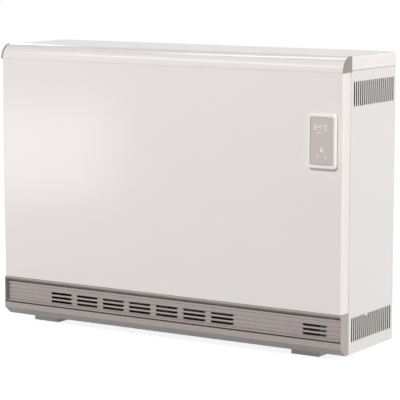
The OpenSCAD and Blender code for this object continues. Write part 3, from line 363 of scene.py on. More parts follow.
@dataclass(frozen=True)
class Mineral(Finish):
    """Fired brick or ceramic: specks over a rough body."""

    cloud: float = 30 * MM
    speck: float = 1.5 * MM
    speck_stops: Stops = ((0.42, 0.0), (0.62, 1.0))
    relief: float = 0.25 * MM
    contrast: float = 0.5
    tones: Point = (0.85, 1.15)
    speck_tone: float = 0.5
    gloss: float = 0.1

    def dress(self, graph: Graph) -> None:
        """Add dark specks, a cloudy tone and a pitted relief.

        Args:
            graph: The material's tree.
        """
        cloud = graph.noise(self.cloud, detail=4.0)
        specks = graph.ramp(graph.noise(self.speck, detail=3.0), *self.speck_stops)
        clouded = self.toned(graph, cloud, self.tones)
        graph.put("Base Color", graph.blend(self.contrast * specks, clouded, shade(self.colour, self.speck_tone)))
        graph.put("Roughness", self.roughness - self.gloss * specks)
        graph.put("Normal", graph.bump(specks + cloud, self.relief))


@dataclass(frozen=True)
class Fibre(Finish):
    """Pressed insulating fibre board."""

    strand: float = 1.2 * MM
    along: Stretch = (12, 1, 1)
    across: Stretch = (1, 12, 8)
    tones: Point = (0.75, 1.15)
    gloss: float = 0.1
    relief: float = 0.3 * MM

    def dress(self, graph: Graph) -> None:
        """Add matted strands that run two ways.

        Args:
            graph: The material's tree.
        """
        mat = 0.5 * (graph.noise(self.strand, 3.0, self.along) + graph.noise(self.strand, 3.0, self.across))
        graph.put("Base Color", self.toned(graph, mat, self.tones))
        graph.put("Roughness", self.roughness - self.gloss * mat)
        graph.put("Normal", graph.bump(mat, self.relief))


@dataclass(frozen=True)
class CircuitBoard(Finish):
    """Green solder resist with tracks under it."""

    cell: float = 7.2 * MM
    track_stops: Stops = ((0.05, 1.0), (0.12, 0.0))
    tones: Point = (1.0, 2.2)
    gloss: float = 0.1
    relief: float = 0.03 * MM

    def dress(self, graph: Graph) -> None:
        """Add lighter tracks along the edges of cells, and glossy resist between them.

        Args:
            graph: The material's tree.
        """
        edges = graph.add("ShaderNodeTexVoronoi", {"feature": "DISTANCE_TO_EDGE"},
                          {"Vector": graph.place, "Scale": 1 / self.cell})
        tracks = graph.ramp(edges, *self.track_stops)
        graph.put("Base Color", self.toned(graph, tracks, self.tones))
        graph.put("Roughness", self.roughness + self.gloss * tracks)
        graph.put("Normal", graph.bump(tracks, self.relief))


WHITE = Enamel("white_enamel", (0.86, 0.817, 0.793), 0.15)
SIDE_WHITE = Enamel("white_side_enamel", (0.78, 0.748, 0.725), 0.42)
GREY = Enamel("grey_enamel", (0.42, 0.365, 0.35), 0.38, peel=0.8 * MM)
CAP_GREY = MouldedPlastic("grey_plastic", (0.30, 0.275, 0.26), 0.45)
HOUSING = MouldedPlastic("white_plastic", (0.92, 0.89, 0.87), 0.25)
SCREEN = MouldedPlastic("screen_plastic", (0.62, 0.55, 0.54), 0.16, grain=0.2 * MM, grain_depth=0.001 * MM)
INK = MouldedPlastic("screen_plastic", (0.98, 0.97, 0.97), 0.5, variant="_ink")
SCREW = TurnedMetal("screw_steel", (0.30, 0.30, 0.31), 0.35, 1.0)
FINISHES: list[Finish] = [
    WHITE, SIDE_WHITE, GREY, CAP_GREY, HOUSING, SCREEN, SCREW,
    # colour far darker than bare galvanised sheet: painted shade, so that the inside seen through the vents and slots
    # stays dark
    ZincSheet("zinc_steel", (0.17, 0.175, 0.18), 0.55, 1.0),
    TurnedMetal("element_steel", (0.36, 0.33, 0.31), 0.35, 1.0, tarnish=0.7),
    Mineral("storage_brick", (0.26, 0.10, 0.07), 0.85),
    Fibre("insulation_board", (0.42, 0.38, 0.29), 0.9),
    Mineral("ceramic_white", (0.82, 0.78, 0.70), 0.35, speck=0.8 * MM, relief=0.02 * MM, contrast=0.15),
    TurnedMetal("motor_steel", (0.20, 0.21, 0.22), 0.45, 1.0),
    TurnedMetal("bearing_bronze", (0.60, 0.36, 0.14), 0.35, 1.0),
    TurnedMetal("impeller_aluminium", (0.42, 0.43, 0.44), 0.45, 1.0),
    TurnedMetal("bimetal_strip", (0.55, 0.38, 0.16), 0.3, 1.0),
    MouldedPlastic("light_plastic", (0.45, 0.42, 0.38), 0.5),
    CircuitBoard("board_green", (0.03, 0.13, 0.06), 0.3),
    MouldedPlastic("black_rubber", (0.03, 0.03, 0.03), 0.75, grain=0.6 * MM, grain_depth=0.03 * MM),
]


# ------------------------------------------------------------------ modelling


class Element(Enum):
    """What a selection picks."""

    FACE = "FACE"
    EDGE = "EDGE"


class Way(Enum):
    """How a tool is combined with a piece."""

    CUT = "DIFFERENCE"
    UNITE = "UNION"


class Axis(Enum):
    """The way a section runs. Its points are (y, z), (x, z) or (x, y), and its outer face is to their left."""

    X = (1, 0, 0)
    Y = (0, -1, 0)
    Z = (0, 0, 1)

    def at(self, along: float, point: Point) -> Vector:
        """Return the place of a section's point at a distance along the axis."""
        a, b = point
        return {Axis.X: Vector((along, a, b)), Axis.Y: Vector((a, along, b)), Axis.Z: Vector((a, b, along))}[self]


def arc(centre: Point, radius: float, start: float, end: float, steps: int) -> list[Point]:
    """Place points along an arc.

    Args:
        centre: Its centre.
        radius: Its radius.
        start: The angle of the first point, in degrees.
        end: The angle of the last point.
        steps: How many steps lie between them.

    Returns:
        The points.
    """
    angles = [math.radians(start + (end - start) * i / steps) for i in range(steps + 1)]
    return [(centre[0] + radius * math.cos(a), centre[1] + radius * math.sin(a)) for a in angles]


class Workpiece:
    """One mesh on the bench, shaped with Blender's modelling operators."""

    def __init__(self, obj: bpy.types.Object) -> None:
        """Take an object onto the bench."""
        self.obj = obj

    # ---- starts

    @classmethod
    def _start(cls, add: Callable, scale: Vector, **place: object) -> "Workpiece":
        """Add a primitive at its size and place, with its place in its mesh.

        Args:
            add: The operator that adds it.
            scale: How much larger it becomes along its own axes.
            place: The operator's settings.

        Returns:
            The new piece.
        """
        if bpy.context.object is not None and bpy.context.object.mode != "OBJECT":
            bpy.ops.object.mode_set(mode="OBJECT")
        bpy.ops.object.select_all(action="DESELECT")
        add(**place)
        obj = bpy.context.object
        obj.scale = scale
        bpy.ops.object.transform_apply(location=True, rotation=True, scale=True)
        return cls(obj)

    @classmethod
    def block(cls, low: Sequence[float], high: Sequence[float]) -> "Workpiece":
        """Start from a cube between two corners."""
        low, high = Vector(low), Vector(high)
        return cls._start(bpy.ops.mesh.primitive_cube_add, high - low, size=1, location=(low + high) / 2)

    @classmethod
    def rod(cls, low: Sequence[float], axis: Axis, radius: float, length: float, sides: int = 32) -> "Workpiece":
        """Start from a cylinder that stands on a point.

        Args:
            low: The middle of its lower end.
            axis: The way it runs, always towards the greater coordinate.
            radius: Its radius.
            length: Its length.
            sides: How many sides it has.

        Returns:
            The rod.
        """
        along = Vector([abs(c) for c in axis.value])
        return cls._start(bpy.ops.mesh.primitive_cylinder_add, Vector((1, 1, 1)), radius=radius, depth=length,
                          vertices=sides, location=Vector(low) + along * length / 2,
                          rotation=along.to_track_quat("Z", "Y").to_euler())

    @classmethod
    def strip(cls, axis: Axis, start: float, end: float, path: Sequence[Point]) -> "Workpiece":
        """Start from a plane and extrude its edge along a path.

        Args:
            axis: The way the section runs.
            start: Where it starts along the axis.
            end: Where it ends.
            path: The section's points, with the outer face to their left.

        Returns:
            The open sheet.
        """
        along = Vector(axis.value)
        points = [axis.at((start + end) / 2, p) for p in path]
        first = points[1] - points[0]
        turn = Matrix((along, first.normalized(), along.cross(first).normalized())).transposed()
        piece = cls._start(bpy.ops.mesh.primitive_plane_add, Vector((end - start, first.length, 1)), size=1,
                           location=(points[0] + points[1]) / 2, rotation=turn.to_euler())
        piece.pick(Element.EDGE, near(points[1]))
        for here, there in zip(points[1:], points[2:]):
            bpy.ops.mesh.extrude_edges_move(TRANSFORM_OT_translate={"value": there - here})
        return piece

    @classmethod
    def prism(cls, axis: Axis, start: float, end: float, outline: Sequence[Point]) -> "Workpiece":
        """Extrude a strip round a closed outline and close its ends.

        Args:
            axis: The way the section runs.
            start: Where it starts along the axis.
            end: Where it ends.
            outline: The section's points, without the first one again.

        Returns:
            The closed bar.
        """
        piece = cls.strip(axis, start, end, [*outline, outline[0]])
        piece.select_all()
        bpy.ops.mesh.remove_doubles(threshold=TOUCH / 10)
        bpy.ops.mesh.select_all(action="SELECT")
        bpy.ops.mesh.fill_holes(sides=0)
        bpy.ops.mesh.select_all(action="SELECT")
        bpy.ops.mesh.normals_make_consistent(inside=False)
        return piece

    # ---- edit mode

    def _mode(self, mode: str) -> None:
        """Make the piece active, alone selected, in a mode.

        Args:
            mode: OBJECT or EDIT.
        """
        if bpy.context.object is not None and bpy.context.object.mode != "OBJECT":
            if bpy.context.object is self.obj and mode == "EDIT":
                return
            bpy.ops.object.mode_set(mode="OBJECT")
        bpy.ops.object.select_all(action="DESELECT")
        bpy.context.view_layer.objects.active = self.obj
        self.obj.select_set(True)
        bpy.ops.object.mode_set(mode=mode)

    def select_all(self) -> "Workpiece":
        """Select the whole mesh in edit mode.

        Returns:
            The piece itself.
        """
        self._mode("EDIT")
        bpy.ops.mesh.select_all(action="SELECT")
        return self

    def pick(self, kind: Element, test: Test) -> "Workpiece":
        """Select faces or edges by a test.

        Args:
            kind: What is picked.
            test: Gets an element's middle and its normal or direction.

        Returns:
            The piece itself.
        """
        self._mode("EDIT")
        bpy.ops.mesh.select_mode(type=kind.value)
        bpy.ops.mesh.select_all(action="DESELECT")
        mesh = bmesh.from_edit_mesh(self.obj.data)
        if kind is Element.FACE:
            for face in mesh.faces:
                face.select_set(test(face.calc_center_median(), face.normal))
        else:
            for edge in mesh.edges:
                first, second = (v.co for v in edge.verts)
                if test((first + second) / 2, (second - first).normalized()):
                    edge.select_set(True)
        bmesh.update_edit_mesh(self.obj.data)
        return self

    def delete_faces(self, test: Test) -> "Workpiece":
        """Delete faces.

        Args:
            test: Gets a face's middle and normal, and passes what goes.

        Returns:
            The piece itself.
        """
        self.pick(Element.FACE, test)
        bpy.ops.mesh.delete(type="FACE")
        return self

    def extrude(self, shift: Sequence[float]) -> "Workpiece":
        """Extrude what is selected, and return the piece."""
        bpy.ops.mesh.extrude_edges_move(TRANSFORM_OT_translate={"value": tuple(shift)})
        return self

    def bevel(self, test: Test, width: float, segments: int = 6) -> "Workpiece":
        """Round the edges that pass a test.

        Args:
            test: Gets an edge's middle and direction.
            width: How far the rounding reaches from the edge.
            segments: How many faces it has.

        Returns:
            The piece itself.
        """
        self.pick(Element.EDGE, test)
        bpy.ops.mesh.bevel(offset=width, segments=segments, affect="EDGES", profile=0.5, clamp_overlap=True)
        return self

    def fold(self, axis: Axis, path: Sequence[Point], radius: float, segments: int = 6) -> "Workpiece":
        """Round a strip's folds.

        Args:
            axis: The way the strip's section runs.
            path: Points of the section, whose inner ones are rounded.
            radius: The outer radius of the folds.
            segments: How many faces each has.

        Returns:
            The piece itself.
        """
        for before, here, after in zip(path, path[1:], path[2:]):
            one, two = Vector(here) - Vector(before), Vector(after) - Vector(here)
            spot = axis.at(0, here)
            self.bevel(lambda middle, run: along_axis(run, axis) and off_axis(middle - spot, axis) < TOUCH,
                       radius * math.tan(one.angle(two) / 2), segments)
        return self

    # ---- modifiers

    def modify(self, kind: str, **settings: object) -> "Workpiece":
        """Add a modifier and apply it.

        Args:
            kind: Its type.
            settings: Its settings.

        Returns:
            The piece itself.
        """
        self._mode("OBJECT")
        modifier = self.obj.modifiers.new(kind, kind)
        for key, value in settings.items():
            setattr(modifier, key, value)
        bpy.ops.object.modifier_apply(modifier=modifier.name)
        return self

    def thicken(self, thickness: float) -> "Workpiece":
        """Give an open sheet its thickness, behind its outer face."""
        return self.modify("SOLIDIFY", thickness=thickness, offset=-1, use_even_offset=True)

    def soften(self, width: float = 0.3 * MM, segments: int = 2, angle: float = 35) -> "Workpiece":
        """Round every edge that is sharper than an angle in degrees."""
        return self.modify("BEVEL", width=width, segments=segments, limit_method="ANGLE",
                           angle_limit=math.radians(angle), use_clamp_overlap=True)

    def repeat(self, count: int, shift: Sequence[float]) -> "Workpiece":
        """Copy the mesh in a row."""
        return self.modify("ARRAY", count=count, use_relative_offset=False, use_constant_offset=True,
                           constant_offset_displace=shift)

    def combine(self, tool: "Workpiece", way: Way = Way.CUT) -> "Workpiece":
        """Combine the piece with a tool, which is used up.

        Args:
            tool: The other piece.
            way: Whether it is cut out or united.

        Returns:
            The piece itself.
        """
        self.modify("BOOLEAN", object=tool.obj, operation=way.value, solver="EXACT")
        bpy.data.objects.remove(tool.obj)
        return self

    def join(self, *others: "Workpiece") -> "Workpiece":
        """Take other pieces into this mesh.

        Args:
            others: Pieces that are used up.

        Returns:
            The piece itself.
        """
        self._mode("OBJECT")
        for other in others:
            other.obj.select_set(True)
        bpy.ops.object.join()
        return self

    def copy(self, change: Matrix) -> "Workpiece":
        """Copy the piece with its own mesh.

        Args:
            change: The matrix that moves, turns or mirrors the copy.

        Returns:
            The copy.
        """
        self._mode("OBJECT")
        obj = self.obj.copy()
        obj.data = self.obj.data.copy()
        bpy.context.scene.collection.objects.link(obj)
        obj.data.transform(change)
        if change.determinant() < 0:
            obj.data.flip_normals()
        return Workpiece(obj)

    def hand_in(self, name: str, finish: Finish, body: str, *nodes: str) -> bpy.types.Object:
        """Name, smooth and dress the piece and set it on its body.

        Args:
            name: The piece's name.
            finish: Its finish.
            body: The CAD body that it rides on.
            nodes: The CAD nodes that it stands for.

        Returns:
            The finished object.
        """
        self._mode("OBJECT")
        bpy.ops.object.shade_smooth_by_angle(angle=SMOOTH)
        self.modify("WEIGHTED_NORMAL", keep_sharp=True)
        obj = self.obj
        obj.name = obj.data.name = name
        obj.data.materials.clear()
        obj.data.materials.append(finish.material())
        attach(obj, body)
        if nodes:
            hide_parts(*nodes)
        log.info("%s: %d faces, stands for %s", name, len(obj.data.polygons), ", ".join(nodes) or "nothing")
        return obj


def near(spot: Vector) -> Test:
    """Return a test for what has its middle at a spot."""
    return lambda middle, _: (middle - spot).length < TOUCH


def along_axis(run: Vector, axis: Axis) -> bool:
    """Tell whether a direction runs along an axis."""
    return abs(run.dot(Vector(axis.value))) > STRAIGHT


def off_axis(offset: Vector, axis: Axis) -> float:
    """Return how far an offset reaches away from an axis."""
    along = Vector(axis.value)
    return (offset - along * offset.dot(along)).length


def rounded_bar(low: Sequence[float], high: Sequence[float], axis: Axis, radius: float,
                segments: int = 6) -> Workpiece:
    """Make a bar with its four long edges rounded.

    Args:
        low: Its lowest corner.
        high: Its highest corner.
        axis: The way its long edges run.
        radius: The radius of their rounding.
        segments: How many faces each rounding has.

    Returns:
        The bar.
    """
    return Workpiece.block(low, high).bevel(lambda _, run: along_axis(run, axis), radius, segments)


# ------------------------------------------------------------------ casing


@dataclass
class Casing:
    """Painted sheets of the casing: front panel, sides, cover, trim and its caps."""

    sheet: float = 1.2 * MM
    fold_r: float = 2.7 * MM
    front_fold_r: float = 6 * MM
    flange: float = 10 * MM
    front_soft: float = 0.2 * MM
    display_hole: Point = (40 * MM, 70 * MM)
    display_hole_r: float = 4 * MM
    reach: float = 4 * MM
    screw_hole_r: float = 1.85 * MM
    screw_x: tuple[float, ...] = (-382 * MM, 334 * MM, 363 * MM)
    screw_y: float = -113.8 * MM
    vent_count: int = 20
    vent_pitch: float = 9.6 * MM
    vent_size: Point = (5.7 * MM, 54.5 * MM)
    vent_first: float = -68 * MM
    vent_bottoms: tuple[float, ...] = (44.5 * MM, 562.2 * MM)
    vent_reach: float = 3 * MM
    side_sheet: float = 0.8 * MM
    side_soft: float = 0.15 * MM
    roll_lap: float = 1 * MM
    cover_soft: float = 0.25 * MM
    trim_centre: Point = (-83.9 * MM, 637.5 * MM)
    trim_r: float = 34.5 * MM
    trim_end: float = 114
    trim_return: float = 10 * MM
    trim_fold: float = 0.3 * MM
    trim_soft: float = 0.12 * MM
    tongue_gap: float = 0.2 * MM
    tongue_sweep: float = 15
    crease_at: float = 135.5
    crease: Point = (2.0 * MM, 1.2 * MM)
    seam: float = 0.8 * MM
    cap_t: float = 4 * MM
    cap_proud: float = 1 * MM
    cap_corner: float = 2 * MM
    cap_soft: float = 0.9 * MM
    plug_r: float = 31.6 * MM
    plug_end: float = 92
    plug_foot: Point = (-109 * MM, 639 * MM)
    plug_soft: float = 0.5 * MM

    def front_panel(self) -> None:
        """Front sheet, wrapped round the sides, with shelves folded back above and below."""
        low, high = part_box("front_panel")
        path = [(high.x - self.flange, high.y), (high.x, high.y), (high.x, low.y),
                (low.x, low.y), (low.x, high.y), (low.x + self.flange, high.y)]
        piece = Workpiece.strip(Axis.Z, low.z, high.z, path)
        for at, radius in ((slice(0, 3), self.fold_r), (slice(1, 4), self.front_fold_r),
                           (slice(2, 5), self.front_fold_r), (slice(3, 6), self.fold_r)):
            piece.fold(Axis.Z, path[at], radius, segments=8)
        for z in (low.z, high.z):
            piece.pick(Element.EDGE, near(Vector((0, low.y, z))))
            piece.extrude((0, self.flange, 0))
        piece.select_all()
        bpy.ops.mesh.normals_make_consistent(inside=False)
        piece.thicken(self.sheet)
        centre = sum(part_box("display_housing"), Vector()) / 2
        half = Vector((self.display_hole[0] / 2, self.reach, self.display_hole[1] / 2))
        hole = Vector((centre.x, low.y, centre.z))
        piece.combine(rounded_bar(hole - half, hole + half, Axis.Y, self.display_hole_r))
        drill = Workpiece.rod((self.screw_x[0], self.screw_y, low.z - MM), Axis.Z, self.screw_hole_r, self.reach,
                              sides=16)
        drill.join(*[drill.copy(Matrix.Translation((x - self.screw_x[0], 0, 0))) for x in self.screw_x[1:]])
        piece.combine(drill).soften(self.front_soft)
        piece.hand_in("front_sheet", WHITE, "root", "front_panel")

    def _side_sheet(self, low: Vector, high: Vector) -> Workpiece:
        """Fold the right side sheet inwards at the front, back and top.

        Args:
            low: The lowest corner of its box.
            high: The highest corner.

        Returns:
            The sheet, still without vents.
        """
        path = [(high.x - self.flange, high.y), (high.x, high.y), (high.x, low.y), (high.x - self.flange, low.y)]
        piece = Workpiece.strip(Axis.Z, low.z, high.z, path)
        piece.fold(Axis.Z, path, self.fold_r)
        piece.pick(Element.EDGE, near(Vector((high.x, (low.y + high.y) / 2, high.z))))
        piece.extrude((-self.flange, 0, 0))
        return piece.thicken(self.side_sheet)

    def side_panels(self) -> None:
        """Both sides, the right one with its two rows of vents."""
        low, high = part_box("right_side_panel")
        right = self._side_sheet(low, high)
        left = right.copy(MIRROR).soften(self.side_soft)
        left.hand_in("left_side_sheet", SIDE_WHITE, "root", "left_side_panel")
        width, height = self.vent_size
        for bottom in self.vent_bottoms:
            cutter = rounded_bar((high.x - self.vent_reach, self.vent_first - width / 2, bottom),
                                 (high.x + self.vent_reach, self.vent_first + width / 2, bottom + height),
                                 Axis.X, width * ROUND)
            right.combine(cutter.repeat(self.vent_count, (0, self.vent_pitch, 0)))
        right.soften(self.side_soft)
        right.hand_in("right_side_sheet", SIDE_WHITE, "root", "right_side_panel")

    def cover(self) -> None:
        """Lid with a skirt at the sides and back, rolled down over the trim's tongue in front."""
        low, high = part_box("top_cover")
        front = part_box("trim_cap_right")[1].y + self.seam
        lid = Workpiece.block((low.x, front, low.z), high)
        lid.delete_faces(lambda m, n: n.z < -ALIGNED or n.y < -ALIGNED)
        lid.bevel(lambda m, run: m.z > high.z - TOUCH and m.y > front + self.roll_lap
                  or abs(run.z) > ALIGNED and m.y > high.y - TOUCH, self.front_fold_r, segments=8)
        lid.thicken(self.sheet)
        edge = self.trim_end - math.degrees(self.seam / self.trim_r)
        path = [*arc(self.trim_centre, self.trim_r, edge, 90, steps=8), (front + self.roll_lap, high.z)]
        trim_low, trim_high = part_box("front_trim")
        roll = Workpiece.strip(Axis.X, trim_low.x, trim_high.x, path).thicken(self.sheet)
        lid.combine(roll, Way.UNITE).soften(self.cover_soft)
        lid.hand_in("cover_lid", WHITE, "root", "top_cover")

    def trim(self) -> None:
        """Rolled moulding along the top edge, with its fine crease and the tongue under the cover."""
        low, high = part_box("front_trim")
        r, (width, depth) = self.trim_r, self.crease
        step = math.degrees(width / r) / 2
        face = arc(self.trim_centre, r, 180, self.crease_at + step, steps=18)
        face += arc(self.trim_centre, r - depth, self.crease_at + step, self.crease_at - step, steps=2)
        face += arc(self.trim_centre, r, self.crease_at - step, self.trim_end, steps=8)
        tongue = arc(self.trim_centre, r - self.sheet - self.tongue_gap, self.trim_end,
                     self.trim_end - self.tongue_sweep, steps=4)
        path = [(face[0][0] + self.trim_return, low.z), *face, *tongue]
        piece = Workpiece.strip(Axis.X, low.x, high.x, path)
        piece.fold(Axis.X, path[:3], self.trim_fold, segments=3)
        piece.thicken(self.sheet).soften(self.trim_soft, angle=50)
        piece.hand_in("top_trim", WHITE, "root", "front_trim")

    def caps(self) -> None:
        """End caps of the trim: soft-edged plates with a plug behind them."""
        low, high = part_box("trim_cap_right")
        middle, r, corner = self.trim_centre[1], self.trim_r + self.cap_proud, self.cap_corner
        top = 180 - math.degrees(math.asin((high.z - middle) / r))
        outline = arc(self.trim_centre, r, 180, top, steps=24)
        outline += [*arc((high.y - corner, high.z - corner), corner, 90, 0, steps=5), (high.y, low.z)]
        right = Workpiece.prism(Axis.X, high.x - self.cap_t, high.x, outline).soften(self.cap_soft, segments=4)
        start = 180 - math.degrees(math.asin((self.plug_foot[1] - middle) / self.plug_r))
        plug = [*arc(self.trim_centre, self.plug_r, start, self.plug_end, steps=16), self.plug_foot]
        right.join(Workpiece.prism(Axis.X, low.x, high.x - self.cap_t / 2, plug).soften(self.plug_soft))
        left = right.copy(MIRROR)
        right.hand_in("trim_end_right", CAP_GREY, "root", "trim_cap_right")
        left.hand_in("trim_end_left", CAP_GREY, "root", "trim_cap_left")

    def build(self) -> None:
        """Model the whole casing."""
        self.front_panel()
        self.side_panels()
        self.cover()
        self.trim()
        self.caps()


# ------------------------------------------------------------------ outlet


@dataclass
class Outlet:
    """Grey air outlet: its frame with a rolled lip, and the grooved, slotted grille under it."""

    sheet: float = 1.2 * MM
    cheek: float = 2 * MM
    nose_r: float = 3.2 * MM
    nose_turn: Point = (130, 242)
    lip_foot: Point = (12.5 * MM, 12.2 * MM)
    lip_run: float = 12 * MM
    fold_r: float = 1.6 * MM
    frame_soft: float = 0.5 * MM
    rail_top: float = 49 * MM
    knee: Point = (36 * MM, 20.5 * MM)
    rail_return: float = 20 * MM
    rail_drop: float = 3 * MM
    face: float = -110 * MM
    wall: float = 1.5 * MM
    deep: float = 2 * MM
    lip_proud: float = 5 * MM
    lip_t: float = 2.4 * MM
    lip_land: float = 0.4 * MM
    grille_top: float = 99.3 * MM
    grille_gap: float = 2.5 * MM
    root_ridge: float = 58 * MM
    groove_z: tuple[float, ...] = (62.3 * MM, 72.1 * MM, 81.9 * MM, 91.7 * MM)
    groove_w: float = 5.6 * MM
    slot: Point = (60 * MM, 4.8 * MM)
    slot_sink: float = 0.5 * MM
    slot_reach: Point = (2 * MM, 6 * MM)
    grille_soft: float = 0.25 * MM
    slot_rows: int = 3
    slot_pitch: float = 75 * MM
    slot_groups: int = 7
    slot_first: float = -298.2 * MM
    slot_last: float = 390.5 * MM

    def frame_piece(self) -> None:
        """Lip, lower rail and cheeks in one."""
        low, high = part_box("outlet_frame")
        knee_z, slope = self.knee
        rail = [(low.y + self.rail_return, self.rail_top - self.rail_drop),
                (low.y + self.rail_return, self.rail_top), (low.y, self.rail_top), (low.y, knee_z),
                (low.y + slope, low.z), (high.y, low.z)]
        start, end = self.nose_turn
        middle = (low.y + self.nose_r, high.z - self.nose_r * math.sin(math.radians(start)))
        foot, t = Vector((low.y + self.lip_foot[0], high.z - self.lip_foot[1])), self.sheet
        inside = foot - Vector(arc((0, 0), t, end, end, steps=1)[0])
        lip = [(high.y - self.lip_run, high.z - t), (high.y - self.lip_run, high.z)]
        lip += [*arc(middle, self.nose_r, start, end, steps=16), foot[:], inside[:]]
        lip += arc(middle, self.nose_r - t, end, start, steps=16)
        x0, x1 = low.x + self.cheek / 2, high.x - self.cheek / 2
        body = Workpiece.strip(Axis.X, x0, x1, rail[::-1]).fold(Axis.X, rail[::-1], self.fold_r)
        body.thicken(self.sheet)
        body.combine(Workpiece.prism(Axis.X, x0, x1, lip), Way.UNITE)
        cheek = [(low.y, high.z), (low.y, knee_z), (low.y + slope, low.z), (high.y, low.z), (high.y, high.z)]
        for x in (low.x, high.x - self.cheek):
            body.combine(Workpiece.prism(Axis.X, x, x + self.cheek, cheek), Way.UNITE)
        body.soften(self.frame_soft, segments=3)
        body.hand_in("outlet_surround", GREY, "root", "outlet_frame")

    def _section(self) -> list[Point]:
        """Draw the grille's closed section: face, folded top, grooved back and lower lip.

        Returns:
            Its points, each groove half as wide at its bottom as at its mouth.
        """
        low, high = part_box("outlet_grille")

        def grooved(y: float) -> list[Point]:
            """Draw the grooved face at a depth, from its root up.

            Args:
                y: The depth of its ridges.

            Returns:
                Its points.
            """
            deep, half = y + self.deep, self.groove_w / 2
            points = [(deep, low.z + self.lip_t), (deep, self.root_ridge - half / 2), (y, self.root_ridge)]
            for z in self.groove_z:
                points += [(y, z - half), (deep, z - half / 2), (deep, z + half / 2), (y, z + half)]
            return points

        back, top, edge = self.face + self.wall, self.grille_top, self.lip_t - self.lip_land
        lip = arc((self.face - self.lip_proud + edge, low.z + self.lip_land), edge, 180, 90, steps=6)
        return [(self.face - self.lip_proud, low.z), *lip, *grooved(self.face), (self.face, top),
                (back + self.deep, top), (back + self.deep, top - self.wall), (back, top - self.wall),
                *grooved(back)[::-1], (back + self.deep, low.z)]

    def grille(self) -> None:
        """Grooved sheet with its air slots."""
        low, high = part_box("outlet_grille")
        piece = Workpiece.prism(Axis.X, low.x + self.grille_gap, high.x - self.grille_gap, self._section())
        (length, height), (ahead, behind) = self.slot, self.slot_reach
        for groove in self.groove_z[:self.slot_rows]:
            z = groove - self.slot_sink
            for x, count in ((self.slot_first, self.slot_groups), (self.slot_last, 1)):
                tool = rounded_bar((x - length / 2, self.face - ahead, z - height / 2),
                                   (x + length / 2, self.face + behind, z + height / 2), Axis.Y, height * ROUND)
                piece.combine(tool.repeat(count, (self.slot_pitch, 0, 0)))
        piece.soften(self.grille_soft, angle=30)
        piece.hand_in("grille_sheet", GREY, "grille", "outlet_grille")

    def build(self) -> None:
        """Model the outlet."""
        self.frame_piece()
        self.grille()


# ------------------------------------------------------------------ display


